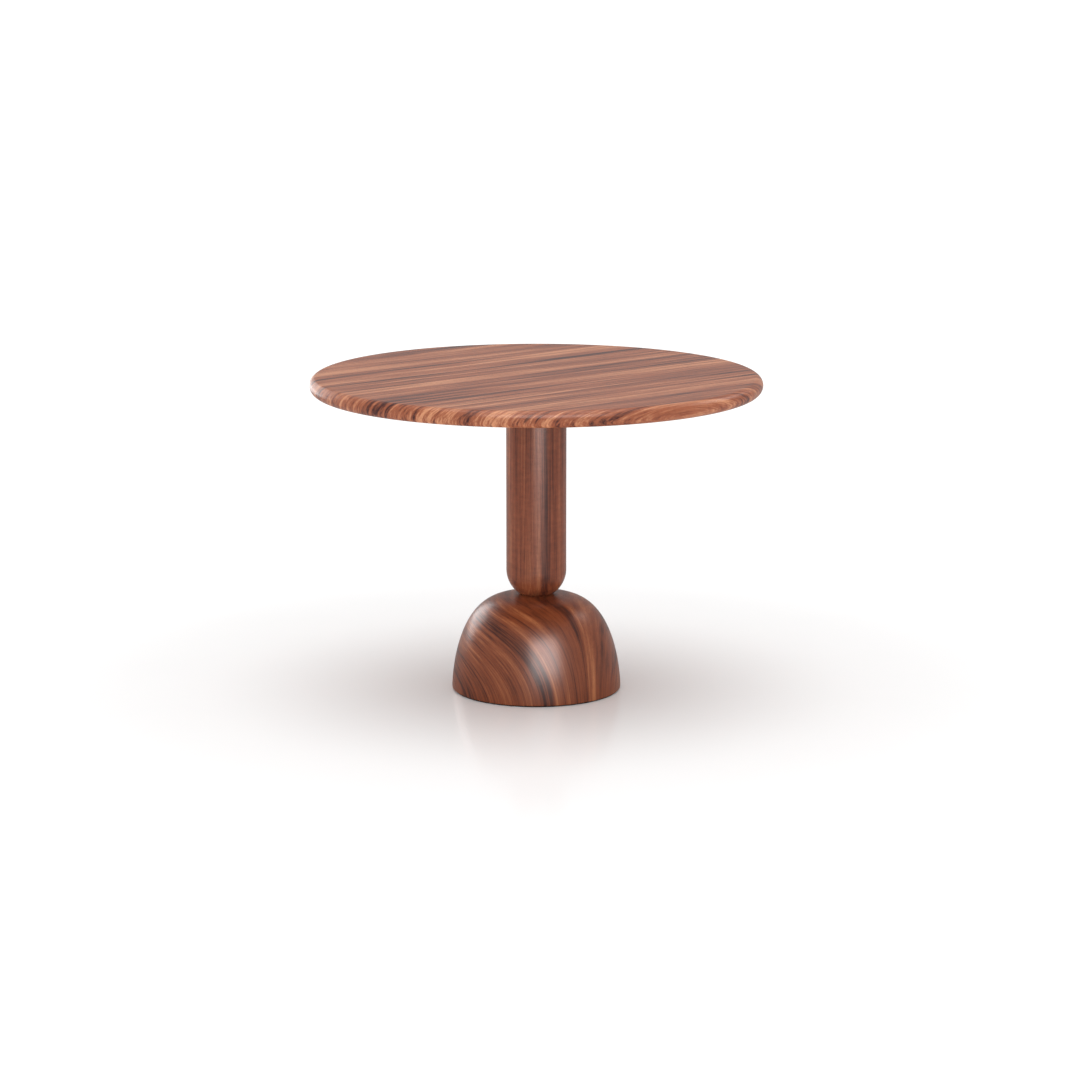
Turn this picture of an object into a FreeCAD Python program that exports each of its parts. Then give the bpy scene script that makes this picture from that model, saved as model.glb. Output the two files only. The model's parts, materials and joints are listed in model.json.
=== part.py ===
"""Tilt-top pedestal table, turned and joined in walnut.

A round, full-bullnose top stands on one thick column with a half-round foot end, which sits on a
turned dome. A pocket in the dome's foot holds a cast-iron ballast above a steel base plate with four
screw levellers. A head block on the column carries two shoulder bolts. Two bearers under the top swing on
them, so the top tips up to the vertical, and a sprung bolt under the top locks it down on a strike
plate in the block. One threaded rod clamps block, column and dome together.

Frame: millimetres, +Z up, origin on the floor at the column's axis. The top's grain and the tilt
axis run along X. The catch is on the +Y side, and the top tips to face -Y.
"""

import FreeCAD, Part
import math
import os

Vector = FreeCAD.Vector
X_AXIS = Vector(1, 0, 0)
Y_AXIS = Vector(0, 1, 0)
Z_AXIS = Vector(0, 0, 1)

# ---- Overall sizes
TABLE_HEIGHT = 750.0
TOP_DIAMETER = 1060.0
TOP_THICKNESS = 38.0
COLUMN_DIAMETER = 142.0
BASE_DIAMETER = 400.0
DOME_HEIGHT = 225.0

# ---- Dome: (r / radius) ** CROWN_POWER + (z / height) ** RISE_POWER = 1
CROWN_POWER = 3.77
RISE_POWER = 1.73
DOME_POINTS = 15
SEAT_RADIUS = 38.0
NUT_SEAT_HEIGHT = 140.0
RIM_WIDTH = 14.0
RIM_ROUND = 1.0
TENON_RADIUS = 25.0
TENON_LENGTH = 28.0
TENON_END_GAP = 2.0
GLUE_GAP = 0.1

# ---- Floor ring, base plate and ballast
RING_THICKNESS = 3.0
RING_WIDTH = 9.0
RING_SETBACK = 3.5
PLATE_RECESS = 9.0
PLATE_THICKNESS = 6.0
PLATE_EDGE_GAP = 0.5
PLATE_SCREW_COUNT = 8
PLATE_SCREW_INSET = 27.0
BALLAST_THICKNESS = 54.0
BALLAST_CORE_RADIUS = 15.0
BALLAST_CHAMFER = 4.0
BALLAST_GAP = 1.5
BALLAST_SCREW_COUNT = 3
BALLAST_SCREW_CIRCLE = 90.0

# ---- Levellers: M8 studs in weld nuts, with nylon pads that stay still while the stud turns
LEVELLER_COUNT = 4
LEVELLER_INSET = 40.0
STUD_RADIUS = 4.0
STUD_LENGTH = 33.0
STUD_IN_PAD = 2.5
STUD_HEX_FLATS = 13.0
STUD_HEX_HEIGHT = 5.0
PAD_RADIUS = 15.0
PAD_HEIGHT = 5.0
PAD_ROUND = 1.5
PAD_FLOOR_GAP = 0.5
WELD_NUT_FLATS = 13.0
WELD_NUT_HEIGHT = 6.5
WELD_NUT_GAP = 1.5
LEVELLER_POCKET_DEPTH = 26.0
POCKET_WALL = 6.0
RUNNING_GAP = 0.05

# ---- Tie rod, M12
ROD_RADIUS = 6.0
ROD_PASSAGE_GAP = 0.5
ROD_END = 3.0
ROD_NUT_FLATS = 19.0
ROD_NUT_HEIGHT = 10.0
UPPER_WASHER_RADIUS = 17.0
LOWER_WASHER_RADIUS = 30.0
WASHER_THICKNESS = 3.0
WASHER_SEAT_GAP = 1.0

# ---- Head block
BLOCK_SIDE_MARGIN = 4.0
BLOCK_HEIGHT = 46.5
BLOCK_CORNER_RADIUS = 7.0
BLOCK_FOOT_CHAMFER = 5.0
NUT_POCKET_DEPTH = 20.0
DOWEL_RADIUS = 5.0
DOWEL_LENGTH = 36.0
DOWEL_SPREAD = 42.0
DOWEL_GAP = 0.05
REST_PAD_THICKNESS = 1.5
REST_PAD_SIZE = (34.0, 40.0)
REST_PAD_CENTRE = (45.0, 58.0)
STOP_PAD_SIZE = (34.0, 14.0)
STOP_PAD_CENTRE = (45.0, 12.0)
PAD_CORNER_RADIUS = 3.0

# ---- Pivot
PIVOT_BELOW_TOP = 22.0
PIVOT_OVERHANG = 10.0
PIVOT_RADIUS = 6.0
PIVOT_HEAD_RADIUS = 11.0
PIVOT_HEAD_HEIGHT = 4.0
PIVOT_SLOT_WIDTH = 1.6
PIVOT_SLOT_DEPTH = 1.6
PIVOT_IN_BLOCK = 30.0
INSERT_RADIUS = 9.0
INSERT_LENGTH = 26.0
BUSH_RADIUS = 8.0
BUSH_FLANGE_RADIUS = 13.0
BUSH_FLANGE_THICKNESS = 1.5
SIDE_GAP = 0.3

# ---- Bearers
BEARER_WIDTH = 40.0
BEARER_DEPTH = 44.0
BEARER_END_DEPTH = 18.0
BEARER_HALF_LENGTH = 330.0
BEARER_FULL_HALF_LENGTH = 150.0
BEARER_EDGE_ROUND = 3.0
BEARER_WEB = 12.0
FIXED_SCREW_PLACES = (-150.0, 0.0)
SLOTTED_SCREW_PLACES = (-300.0, 150.0, 300.0)
SLOT_TRAVEL = 8.0

# ---- Wood screws and washers that hold the bearers
SCREW_RADIUS = 2.5
SCREW_HEAD_RADIUS = 4.75
SCREW_HEAD_HEIGHT = 3.4
SCREW_BITE = 22.0
SCREW_TIP = 5.0
SCREW_HOLE_GAP = 0.4
SCREW_POCKET_RADIUS = 7.5
SCREW_WASHER_RADIUS = 6.5
SCREW_WASHER_THICKNESS = 1.2
DRIVE_WIDTH = 0.9
DRIVE_DEPTH = 1.4

# ---- Countersunk screws: small brass ones for the catch, steel ones for the base plate
SMALL_SCREW_RADIUS = 1.75
SMALL_SCREW_HEAD_RADIUS = 3.4
SMALL_SCREW_BITE = 16.0
PLATE_SCREW_RADIUS = 2.5
PLATE_SCREW_HEAD_RADIUS = 4.8
PLATE_SCREW_BITE = 22.0
BALLAST_SCREW_RADIUS = 4.0
BALLAST_SCREW_HEAD_RADIUS = 7.8
BALLAST_SCREW_BITE = 20.0

# ---- Catch
CATCH_GAP = 2.0
CATCH_FLANGE_THICKNESS = 2.0
CATCH_FLANGE_WIDTH = 62.0
CATCH_LENGTH = 60.0
CATCH_BODY_WIDTH = 32.0
CATCH_BODY_DEPTH = 19.0
CATCH_CORNER_RADIUS = 5.0
CATCH_CAP_THICKNESS = 2.5
BOLT_WIDTH = 20.0
BOLT_THICKNESS = 8.0
BOLT_LENGTH = 44.0
BOLT_THROW = 9.0
BOLT_TRAVEL = 10.0
BOLT_BEVEL = 4.5
BOLT_GAP = 0.1
BOLT_BELOW_TOP = 12.0
SPRING_PEG_RADIUS = 2.0
SPRING_PEG_LENGTH = 5.0
SPRING_WIRE_RADIUS = 0.4
SPRING_COIL_RADIUS = 2.9
SPRING_TURNS = 8
STEM_RADIUS = 2.5
STEM_IN_BOLT = 3.0
STEM_FROM_TIP = 27.0
STEM_SLOT_GAP = 0.5
KNOB_RADIUS = 9.0
KNOB_HEIGHT = 10.0
KNOB_NECK_RADIUS = 4.5
KNOB_GAP = 0.6
STRIKE_WIDTH = 44.0
STRIKE_THICKNESS = 2.0
STRIKE_HEIGHT = 36.0
STRIKE_LIP = 16.0
STRIKE_HOLE_GAP = 1.0
STRIKE_SCREW_SPREAD = 14.0
STRIKE_SCREW_RISE = 8.0
MORTISE_END_GAP = 5.0

# ---- Places worked out from the sizes
TOP_RADIUS = TOP_DIAMETER / 2
COLUMN_RADIUS = COLUMN_DIAMETER / 2
BASE_RADIUS = BASE_DIAMETER / 2
UNDERSIDE = TABLE_HEIGHT - TOP_THICKNESS
BLOCK_TOP = UNDERSIDE - REST_PAD_THICKNESS
BLOCK_FOOT = BLOCK_TOP - BLOCK_HEIGHT
UPPER_SEAT = BLOCK_TOP - NUT_POCKET_DEPTH
BLOCK_HALF_WIDTH = COLUMN_RADIUS + BLOCK_SIDE_MARGIN
PIVOT_Z = UNDERSIDE - PIVOT_BELOW_TOP
PIVOT_Y = -(COLUMN_RADIUS + PIVOT_OVERHANG)
BLOCK_NOSE = BLOCK_TOP - PIVOT_Z
BLOCK_HALF_LENGTH = -PIVOT_Y + BLOCK_NOSE
BEARER_INNER = BLOCK_HALF_WIDTH + SIDE_GAP + BUSH_FLANGE_THICKNESS
BEARER_OUTER = BEARER_INNER + BEARER_WIDTH
BEARER_CENTRE = (BEARER_INNER + BEARER_OUTER) / 2
DOME_FOOT = RING_THICKNESS
PLATE_FOOT = DOME_FOOT + PLATE_RECESS
PLATE_TOP = PLATE_FOOT + PLATE_THICKNESS
PLATE_RADIUS = BASE_RADIUS - RIM_WIDTH - PLATE_EDGE_GAP
PLATE_SCREW_CIRCLE = BASE_RADIUS - PLATE_SCREW_INSET
LEVELLER_CIRCLE = BASE_RADIUS - LEVELLER_INSET
LEVELLER_POCKET_RADIUS = WELD_NUT_FLATS / math.sqrt(3) + WELD_NUT_GAP
BALLAST_POCKET_RADIUS = LEVELLER_CIRCLE - LEVELLER_POCKET_RADIUS - POCKET_WALL
BALLAST_RADIUS = BALLAST_POCKET_RADIUS - BALLAST_GAP
LOWER_SEAT = DOME_FOOT + NUT_SEAT_HEIGHT
CATCH_FRONT = BLOCK_HALF_LENGTH + CATCH_GAP
CATCH_REAR = CATCH_FRONT + CATCH_LENGTH
BOLT_Z = UNDERSIDE - BOLT_BELOW_TOP
BOLT_TIP = BLOCK_HALF_LENGTH - BOLT_THROW
BOLT_REAR = BOLT_TIP + BOLT_LENGTH
STEM_Y = BOLT_TIP + STEM_FROM_TIP


def superellipse_rise(radius, height, at_radius):
    """Rise of the dome's outline above its foot, at a radius."""
    return height * (1 - (at_radius / radius) ** CROWN_POWER) ** (1 / RISE_POWER)


SEAT_Z = DOME_FOOT + superellipse_rise(BASE_RADIUS, DOME_HEIGHT, SEAT_RADIUS)


# ---- Shapes that several pieces share
def box(x_range, y_range, z_range):
    """A block between two corners, each range given as (low, high)."""
    corner = Vector(x_range[0], y_range[0], z_range[0])
    sides = (high - low for low, high in (x_range, y_range, z_range))
    return Part.makeBox(*sides, corner)


def upright(radius, low, high, x=0.0, y=0.0):
    """A vertical cylinder from low to high."""
    return Part.makeCylinder(radius, high - low, Vector(x, y, low), Z_AXIS)


def on_pivot(radius, left, right):
    """A cylinder on the tilt axis, from one x to a larger one."""
    return Part.makeCylinder(radius, right - left, Vector(left, PIVOT_Y, PIVOT_Z), X_AXIS)


def tube(radius, bore, low, high, x=0.0, y=0.0):
    """A vertical ring or washer."""
    return upright(radius, low, high, x, y).cut(upright(bore, low, high, x, y))


def hexagon(flats, low, high, x=0.0, y=0.0):
    """A vertical hexagonal bar, flats across, with one corner towards +X."""
    corner = flats / math.sqrt(3)
    turns = [math.radians(60 * k) for k in range(7)]
    points = [Vector(x + corner * math.cos(a), y + corner * math.sin(a), low) for a in turns]
    return Part.Face(Part.makePolygon(points)).extrude(Vector(0, 0, high - low))


def nut(flats, bore, low, high, x=0.0, y=0.0):
    """A hexagonal nut with rounded-off corners, as a turned chamfer leaves them."""
    corner = flats / math.sqrt(3)
    chamfer = corner - flats / 2
    blank = upright(corner, low, high, x, y)
    blank = blank.makeChamfer(chamfer * 0.8, [e for e in blank.Edges if len(e.Vertexes) == 1])
    return hexagon(flats, low, high, x, y).common(blank).cut(upright(bore, low, high, x, y))


def turned(edges):
    """A solid of revolution about Z from a closed outline of edges in the XZ plane."""
    outline = Part.Wire(Part.__sortEdges__(edges))
    return Part.Face(outline).revolve(Vector(0, 0, 0), Z_AXIS, 360)


def chain(points):
    """Straight edges through (radius, height) points in the XZ plane."""
    corners = [Vector(r, 0, z) for r, z in points]
    return [Part.makeLine(a, b) for a, b in zip(corners, corners[1:])]


def arc(start, middle, end):
    """An arc through three (radius, height) points in the XZ plane."""
    return Part.Arc(*(Vector(r, 0, z) for r, z in (start, middle, end))).toShape()


def around(count, circle, first_turn=0.0):
    """(x, y) places evenly spaced on a circle."""
    step = 2 * math.pi / count
    turns = [math.radians(first_turn) + step * k for k in range(count)]
    return [(circle * math.cos(a), circle * math.sin(a)) for a in turns]


def cross_recess(z, depth, length):
    """The cutter for a cross recess in a screw head whose face is at height z and looks down."""
    one = box((-length / 2, length / 2), (-DRIVE_WIDTH / 2, DRIVE_WIDTH / 2), (z, z + depth))
    other = box((-DRIVE_WIDTH / 2, DRIVE_WIDTH / 2), (-length / 2, length / 2), (z, z + depth))
    return one.fuse(other)


def pan_screw():
    """A pan-head wood screw that points up, with the underside of its head at z = 0."""
    end = BEARER_WEB + SCREW_BITE + SCREW_WASHER_THICKNESS
    crown = (SCREW_HEAD_RADIUS * 0.6, -SCREW_HEAD_HEIGHT)
    edges = chain([(0, end), (0, -SCREW_HEAD_HEIGHT), crown])
    edges += [arc(crown, (SCREW_HEAD_RADIUS * 0.9, -SCREW_HEAD_HEIGHT * 0.75), (SCREW_HEAD_RADIUS, 0))]
    edges += chain([(SCREW_HEAD_RADIUS, 0), (SCREW_RADIUS, 0), (SCREW_RADIUS, end - SCREW_TIP), (0, end)])
    return turned(edges).cut(cross_recess(-SCREW_HEAD_HEIGHT, DRIVE_DEPTH, SCREW_HEAD_RADIUS))


def countersunk_screw(head_radius, radius, length):
    """A countersunk screw that points up, with its flat head's face at z = 0."""
    cone = head_radius - radius
    edges = chain(
        [(0, 0), (head_radius, 0), (radius, cone), (radius, length - radius), (0, length), (0, 0)]
    )
    return turned(edges).cut(cross_recess(0, DRIVE_DEPTH, head_radius))


def countersink(head_radius, radius, length):
    """The cutter for the hole that countersunk_screw() fills."""
    cone = head_radius - radius
    return turned(chain([(0, 0), (head_radius, 0), (radius, cone), (radius, length), (0, length), (0, 0)]))


def at(shape, x=0.0, y=0.0, z=0.0, axis=None, turn=0.0):
    """A copy of a shape made at the origin, turned there and then moved to its place."""
    placed = shape.copy()
    if axis is not None:
        placed.rotate(Vector(0, 0, 0), axis, turn)
    placed.translate(Vector(x, y, z))
    return placed


def less(shape, cutters):
    """A shape with all the cutters taken out of it."""
    return shape.cut(Part.makeCompound(list(cutters)))


def both_sides(shape):
    """(left, right): the mirror image on -X, and the shape itself on +X."""
    return shape.mirror(Vector(0, 0, 0), X_AXIS), shape


# ---- Screw places that two pieces share
BEARER_SCREW_PLACES = [
    (side * BEARER_CENTRE, y)
    for side in (-1, 1)
    for y in sorted(FIXED_SCREW_PLACES + SLOTTED_SCREW_PLACES)
]
CATCH_SCREW_PLACES = [
    (side * (CATCH_FLANGE_WIDTH + CATCH_BODY_WIDTH) / 4, y)
    for side in (-1, 1)
    for y in (CATCH_FRONT + CATCH_LENGTH * 0.2, CATCH_REAR - CATCH_LENGTH * 0.2)
]
PLATE_SCREW_PLACES = around(PLATE_SCREW_COUNT, PLATE_SCREW_CIRCLE, 180 / PLATE_SCREW_COUNT)
BALLAST_SCREW_PLACES = around(BALLAST_SCREW_COUNT, BALLAST_SCREW_CIRCLE, 90)
LEVELLER_PLACES = around(LEVELLER_COUNT, LEVELLER_CIRCLE, 45)
DOWEL_PLACES = [(-DOWEL_SPREAD, 0.0), (DOWEL_SPREAD, 0.0)]


# ---- Top
def table_top():
    """The round top with a full bullnose, and blind screw holes in its underside."""
    nose = TOP_THICKNESS / 2
    start, end = (TOP_RADIUS - nose, UNDERSIDE), (TOP_RADIUS - nose, TABLE_HEIGHT)
    edges = chain([end, (0, TABLE_HEIGHT), (0, UNDERSIDE), start])
    edges += [arc(start, (TOP_RADIUS, UNDERSIDE + nose), end)]
    holes = [upright(SCREW_RADIUS, UNDERSIDE, UNDERSIDE + SCREW_BITE, x, y) for x, y in BEARER_SCREW_PLACES]
    holes += [
        upright(SMALL_SCREW_RADIUS, UNDERSIDE, UNDERSIDE + SMALL_SCREW_BITE, x, y)
        for x, y in CATCH_SCREW_PLACES
    ]
    return less(turned(edges), holes)


def bearer():
    """The right-hand bearer: full depth in the middle, tapered ends, a bush hole and screw holes."""
    middle, tip = BEARER_FULL_HALF_LENGTH, BEARER_HALF_LENGTH
    full, thin = UNDERSIDE - BEARER_DEPTH, UNDERSIDE - BEARER_END_DEPTH
    side = [(-tip, UNDERSIDE), (-tip, thin), (-middle, full), (middle, full), (tip, thin), (tip, UNDERSIDE)]
    corners = [Vector(BEARER_INNER, y, z) for y, z in side + side[:1]]
    body = Part.Face(Part.makePolygon(corners)).extrude(Vector(BEARER_WIDTH, 0, 0))
    lower = [e for e in body.Edges if e.BoundBox.ZMax < UNDERSIDE - 1]
    body = body.makeFillet(BEARER_EDGE_ROUND, lower)
    cutters = [on_pivot(BUSH_RADIUS, BEARER_INNER, BEARER_OUTER)]
    web_foot = UNDERSIDE - BEARER_WEB
    for y in FIXED_SCREW_PLACES + SLOTTED_SCREW_PLACES:
        travel = SLOT_TRAVEL / 2 if y in SLOTTED_SCREW_PLACES else 0.0
        cutters.append(long_hole(SCREW_RADIUS + SCREW_HOLE_GAP, travel, y, web_foot, UNDERSIDE))
        cutters.append(long_hole(SCREW_POCKET_RADIUS, travel, y, full - 1, web_foot))
    return less(body, cutters)


def long_hole(radius, travel, y, low, high):
    """A vertical cutter at a screw place in the right-hand bearer, made longer along Y by travel each way."""
    if travel == 0:
        return upright(radius, low, high, BEARER_CENTRE, y)
    ends = [upright(radius, low, high, BEARER_CENTRE, y + way * travel) for way in (-1, 1)]
    x_range = (BEARER_CENTRE - radius, BEARER_CENTRE + radius)
    return box(x_range, (y - travel, y + travel), (low, high)).fuse(ends)


def bearer_screws():
    head = UNDERSIDE - BEARER_WEB - SCREW_WASHER_THICKNESS
    return [at(pan_screw(), x, y, head) for x, y in BEARER_SCREW_PLACES]


def bearer_washers():
    high = UNDERSIDE - BEARER_WEB
    low = high - SCREW_WASHER_THICKNESS
    bore = SCREW_RADIUS + SCREW_HOLE_GAP
    return [tube(SCREW_WASHER_RADIUS, bore, low, high, x, y) for x, y in BEARER_SCREW_PLACES]


def pivot_bush():
    """The right-hand bush: pressed in the bearer, with its flange against the block's side."""
    start = BEARER_INNER - BUSH_FLANGE_THICKNESS
    flange = on_pivot(BUSH_FLANGE_RADIUS, start, BEARER_INNER)
    sleeve = on_pivot(BUSH_RADIUS, BEARER_INNER, BEARER_OUTER)
    bore = on_pivot(PIVOT_RADIUS + RUNNING_GAP, start, BEARER_OUTER)
    return flange.fuse(sleeve).removeSplitter().cut(bore)


# ---- Catch
def channel(y_range, gap):
    """The bolt's passage along Y, or the bolt's own blank when gap is 0."""
    half, thick = BOLT_WIDTH / 2 + gap, BOLT_THICKNESS / 2 + gap
    return box((-half, half), y_range, (BOLT_Z - thick, BOLT_Z + thick))


def catch_body():
    """The brass casting under the top: a screw flange and a housing with the bolt's passage in it."""
    rear = CATCH_REAR - CATCH_CAP_THICKNESS
    flange_low = UNDERSIDE - CATCH_FLANGE_THICKNESS
    half_flange, half_body = CATCH_FLANGE_WIDTH / 2, CATCH_BODY_WIDTH / 2
    flange = box((-half_flange, half_flange), (CATCH_FRONT, CATCH_REAR), (flange_low, UNDERSIDE))
    corners = [e for e in flange.Edges if is_along(e, Z_AXIS)]
    flange = flange.makeFillet(CATCH_CORNER_RADIUS, corners)
    low = UNDERSIDE - CATCH_BODY_DEPTH
    housing = box((-half_body, half_body), (CATCH_FRONT, rear), (low, flange_low))
    lower = [e for e in housing.Edges if is_along(e, Y_AXIS) and e.BoundBox.ZMax < low + 1]
    housing = housing.makeFillet(CATCH_CORNER_RADIUS, lower)
    body = flange.fuse(housing).removeSplitter()
    slot_half = STEM_RADIUS + STEM_SLOT_GAP
    slot = box((-slot_half, slot_half), (STEM_Y - slot_half, STEM_Y + BOLT_TRAVEL + slot_half), (low, BOLT_Z))
    sink = countersink(SMALL_SCREW_HEAD_RADIUS, SMALL_SCREW_RADIUS, CATCH_FLANGE_THICKNESS)
    sinks = [at(sink, x, y, flange_low) for x, y in CATCH_SCREW_PLACES]
    return less(body, [channel((CATCH_FRONT, rear), BOLT_GAP), slot] + sinks)


def catch_cap():
    """The plate that closes the housing behind the spring."""
    half = CATCH_BODY_WIDTH / 2
    y_range = (CATCH_REAR - CATCH_CAP_THICKNESS, CATCH_REAR)
    z_range = (UNDERSIDE - CATCH_BODY_DEPTH, UNDERSIDE - CATCH_FLANGE_THICKNESS)
    plate = box((-half, half), y_range, z_range)
    lower = [e for e in plate.Edges if is_along(e, Y_AXIS) and e.BoundBox.ZMax < z_range[0] + 1]
    return plate.makeFillet(CATCH_CORNER_RADIUS, lower)


def catch_bolt():
    """The sliding bolt: a bar with a bevelled nose, a peg for the spring and a hole for the stem."""
    bar = channel((BOLT_TIP, BOLT_REAR), 0.0)
    low, half = BOLT_Z - BOLT_THICKNESS / 2, BOLT_WIDTH / 2
    bevel = [(BOLT_TIP, low), (BOLT_TIP + BOLT_BEVEL, low), (BOLT_TIP, low + BOLT_BEVEL), (BOLT_TIP, low)]
    face = Part.Face(Part.makePolygon([Vector(-half, y, z) for y, z in bevel]))
    wedge = face.extrude(Vector(BOLT_WIDTH, 0, 0))
    peg = Part.makeCylinder(SPRING_PEG_RADIUS, SPRING_PEG_LENGTH, Vector(0, BOLT_REAR, BOLT_Z), Y_AXIS)
    hole = upright(STEM_RADIUS, low, low + STEM_IN_BOLT, 0, STEM_Y)
    return bar.fuse(peg).cut(wedge).cut(hole)


def catch_spring():
    """The helical spring between the bolt and the cap."""
    length = CATCH_REAR - CATCH_CAP_THICKNESS - BOLT_REAR - 2 * SPRING_WIRE_RADIUS
    path = Part.makeHelix(length / SPRING_TURNS, length, SPRING_COIL_RADIUS)
    wire = Part.Circle(Vector(SPRING_COIL_RADIUS, 0, 0), Y_AXIS, SPRING_WIRE_RADIUS).toShape()
    coil = Part.Wire(path).makePipeShell([Part.Wire(wire)], True, True)
    return at(coil, 0, BOLT_REAR + SPRING_WIRE_RADIUS, BOLT_Z, X_AXIS, -90)


def catch_knob():
    """The turned finger knob and its stem, which screws into the bolt."""
    high = BOLT_Z - BOLT_THICKNESS / 2 + STEM_IN_BOLT
    neck = UNDERSIDE - CATCH_BODY_DEPTH - KNOB_GAP
    foot = neck - KNOB_HEIGHT
    waist = neck - KNOB_HEIGHT / 3
    edges = chain([(0, foot), (0, high), (STEM_RADIUS, high), (STEM_RADIUS, neck), (KNOB_NECK_RADIUS, neck)])
    edges += chain([(KNOB_NECK_RADIUS, neck), (KNOB_NECK_RADIUS, waist)])
    edges += [arc((KNOB_NECK_RADIUS, waist), (KNOB_RADIUS, (waist + foot) / 2), (KNOB_NECK_RADIUS, foot))]
    edges += chain([(KNOB_NECK_RADIUS, foot), (0, foot)])
    return at(turned(edges), 0, STEM_Y, 0)


def catch_screws():
    screw = countersunk_screw(
        SMALL_SCREW_HEAD_RADIUS, SMALL_SCREW_RADIUS, CATCH_FLANGE_THICKNESS + SMALL_SCREW_BITE
    )
    return [at(screw, x, y, UNDERSIDE - CATCH_FLANGE_THICKNESS) for x, y in CATCH_SCREW_PLACES]


# ---- Strike plate in the head block
STRIKE_SCREW_PLACES = [
    (way * STRIKE_SCREW_SPREAD, BLOCK_TOP - STRIKE_HEIGHT + STRIKE_SCREW_RISE) for way in (-1, 1)
]


def strike_blank():
    """The angle that the strike plate is bent to, let in flush at the block's upper rear edge."""
    half, rear = STRIKE_WIDTH / 2, BLOCK_HALF_LENGTH
    leg = box((-half, half), (rear - STRIKE_THICKNESS, rear), (BLOCK_TOP - STRIKE_HEIGHT, BLOCK_TOP))
    lip = box((-half, half), (rear - STRIKE_LIP, rear), (BLOCK_TOP - STRIKE_THICKNESS, BLOCK_TOP))
    return leg.fuse(lip).removeSplitter()


def strike_mortise():
    """The hole through the strike plate and into the block that the bolt's nose enters."""
    y_range = (BOLT_TIP - MORTISE_END_GAP, BLOCK_HALF_LENGTH)
    return channel(y_range, STRIKE_HOLE_GAP)


def strike_sinks():
    length = STRIKE_THICKNESS + SMALL_SCREW_BITE
    sink = countersink(SMALL_SCREW_HEAD_RADIUS, SMALL_SCREW_RADIUS, length)
    return [at(sink, x, BLOCK_HALF_LENGTH, z, X_AXIS, 90) for x, z in STRIKE_SCREW_PLACES]


def strike_plate():
    return less(strike_blank(), [strike_mortise()] + strike_sinks())


def strike_screws():
    length = STRIKE_THICKNESS + SMALL_SCREW_BITE
    screw = countersunk_screw(SMALL_SCREW_HEAD_RADIUS, SMALL_SCREW_RADIUS, length)
    return [at(screw, x, BLOCK_HALF_LENGTH, z, X_AXIS, 90) for x, z in STRIKE_SCREW_PLACES]


# ---- Head block and pivots
def head_block():
    """The block on the column, with its front upper edge turned round the tilt axis."""
    rear, front = BLOCK_HALF_LENGTH, -BLOCK_HALF_LENGTH
    diagonal = BLOCK_NOSE * math.sqrt(0.5)
    outline = [(PIVOT_Y, BLOCK_TOP), (rear, BLOCK_TOP), (rear, BLOCK_FOOT)]
    outline += [(front, BLOCK_FOOT), (front, PIVOT_Z)]
    corners = [Vector(-BLOCK_HALF_WIDTH, y, z) for y, z in outline]
    edges = [Part.makeLine(a, b) for a, b in zip(corners, corners[1:])]
    middle = Vector(-BLOCK_HALF_WIDTH, PIVOT_Y - diagonal, PIVOT_Z + diagonal)
    edges.append(Part.Arc(corners[-1], middle, corners[0]).toShape())
    body = Part.Face(Part.Wire(edges)).extrude(Vector(2 * BLOCK_HALF_WIDTH, 0, 0))
    body = body.makeFillet(BLOCK_CORNER_RADIUS, [e for e in body.Edges if is_along(e, Z_AXIS)])
    foot = [e for e in body.Edges if e.BoundBox.ZMax < BLOCK_FOOT + 0.01]
    body = body.makeChamfer(BLOCK_FOOT_CHAMFER, foot)
    cutters = [upright(UPPER_WASHER_RADIUS + WASHER_SEAT_GAP, UPPER_SEAT, BLOCK_TOP)]
    cutters += [upright(ROD_RADIUS + ROD_PASSAGE_GAP, BLOCK_FOOT, BLOCK_TOP)]
    cutters += dowel_holes()
    cutters += [strike_blank(), strike_mortise()] + strike_sinks()
    cutters += [pivot_passage(way) for way in (-1, 1)]
    return less(body, cutters)


def pivot_passage(way):
    """The stepped hole in the block's side for an insert and the end of its shoulder bolt."""
    seat = on_pivot(INSERT_RADIUS, BLOCK_HALF_WIDTH - INSERT_LENGTH, BLOCK_HALF_WIDTH)
    passage = seat.fuse(on_pivot(PIVOT_RADIUS, BLOCK_HALF_WIDTH - PIVOT_IN_BLOCK, BLOCK_HALF_WIDTH))
    return passage if way > 0 else passage.mirror(Vector(0, 0, 0), X_AXIS)


def pivot_insert():
    """The right-hand threaded insert, flush with the block's side."""
    inner = BLOCK_HALF_WIDTH - INSERT_LENGTH
    sleeve = on_pivot(INSERT_RADIUS, inner, BLOCK_HALF_WIDTH)
    return sleeve.cut(on_pivot(PIVOT_RADIUS, inner, BLOCK_HALF_WIDTH))


def pivot_bolt():
    """The right-hand shoulder bolt: slotted head outside the bearer, shank through the bush."""
    under_head = BEARER_OUTER + SIDE_GAP
    face = under_head + PIVOT_HEAD_HEIGHT
    shank = on_pivot(PIVOT_RADIUS, BLOCK_HALF_WIDTH - PIVOT_IN_BLOCK, under_head)
    head = on_pivot(PIVOT_HEAD_RADIUS, under_head, face)
    rim = [e for e in head.Edges if e.BoundBox.XMin > face - 0.01 and len(e.Vertexes) == 1]
    head = head.makeFillet(PIVOT_HEAD_HEIGHT * 0.4, rim)
    half = PIVOT_SLOT_WIDTH / 2
    y_range = (PIVOT_Y - PIVOT_HEAD_RADIUS, PIVOT_Y + PIVOT_HEAD_RADIUS)
    slot = box((face - PIVOT_SLOT_DEPTH, face), y_range, (PIVOT_Z - half, PIVOT_Z + half))
    return shank.fuse(head).removeSplitter().cut(slot)


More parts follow.
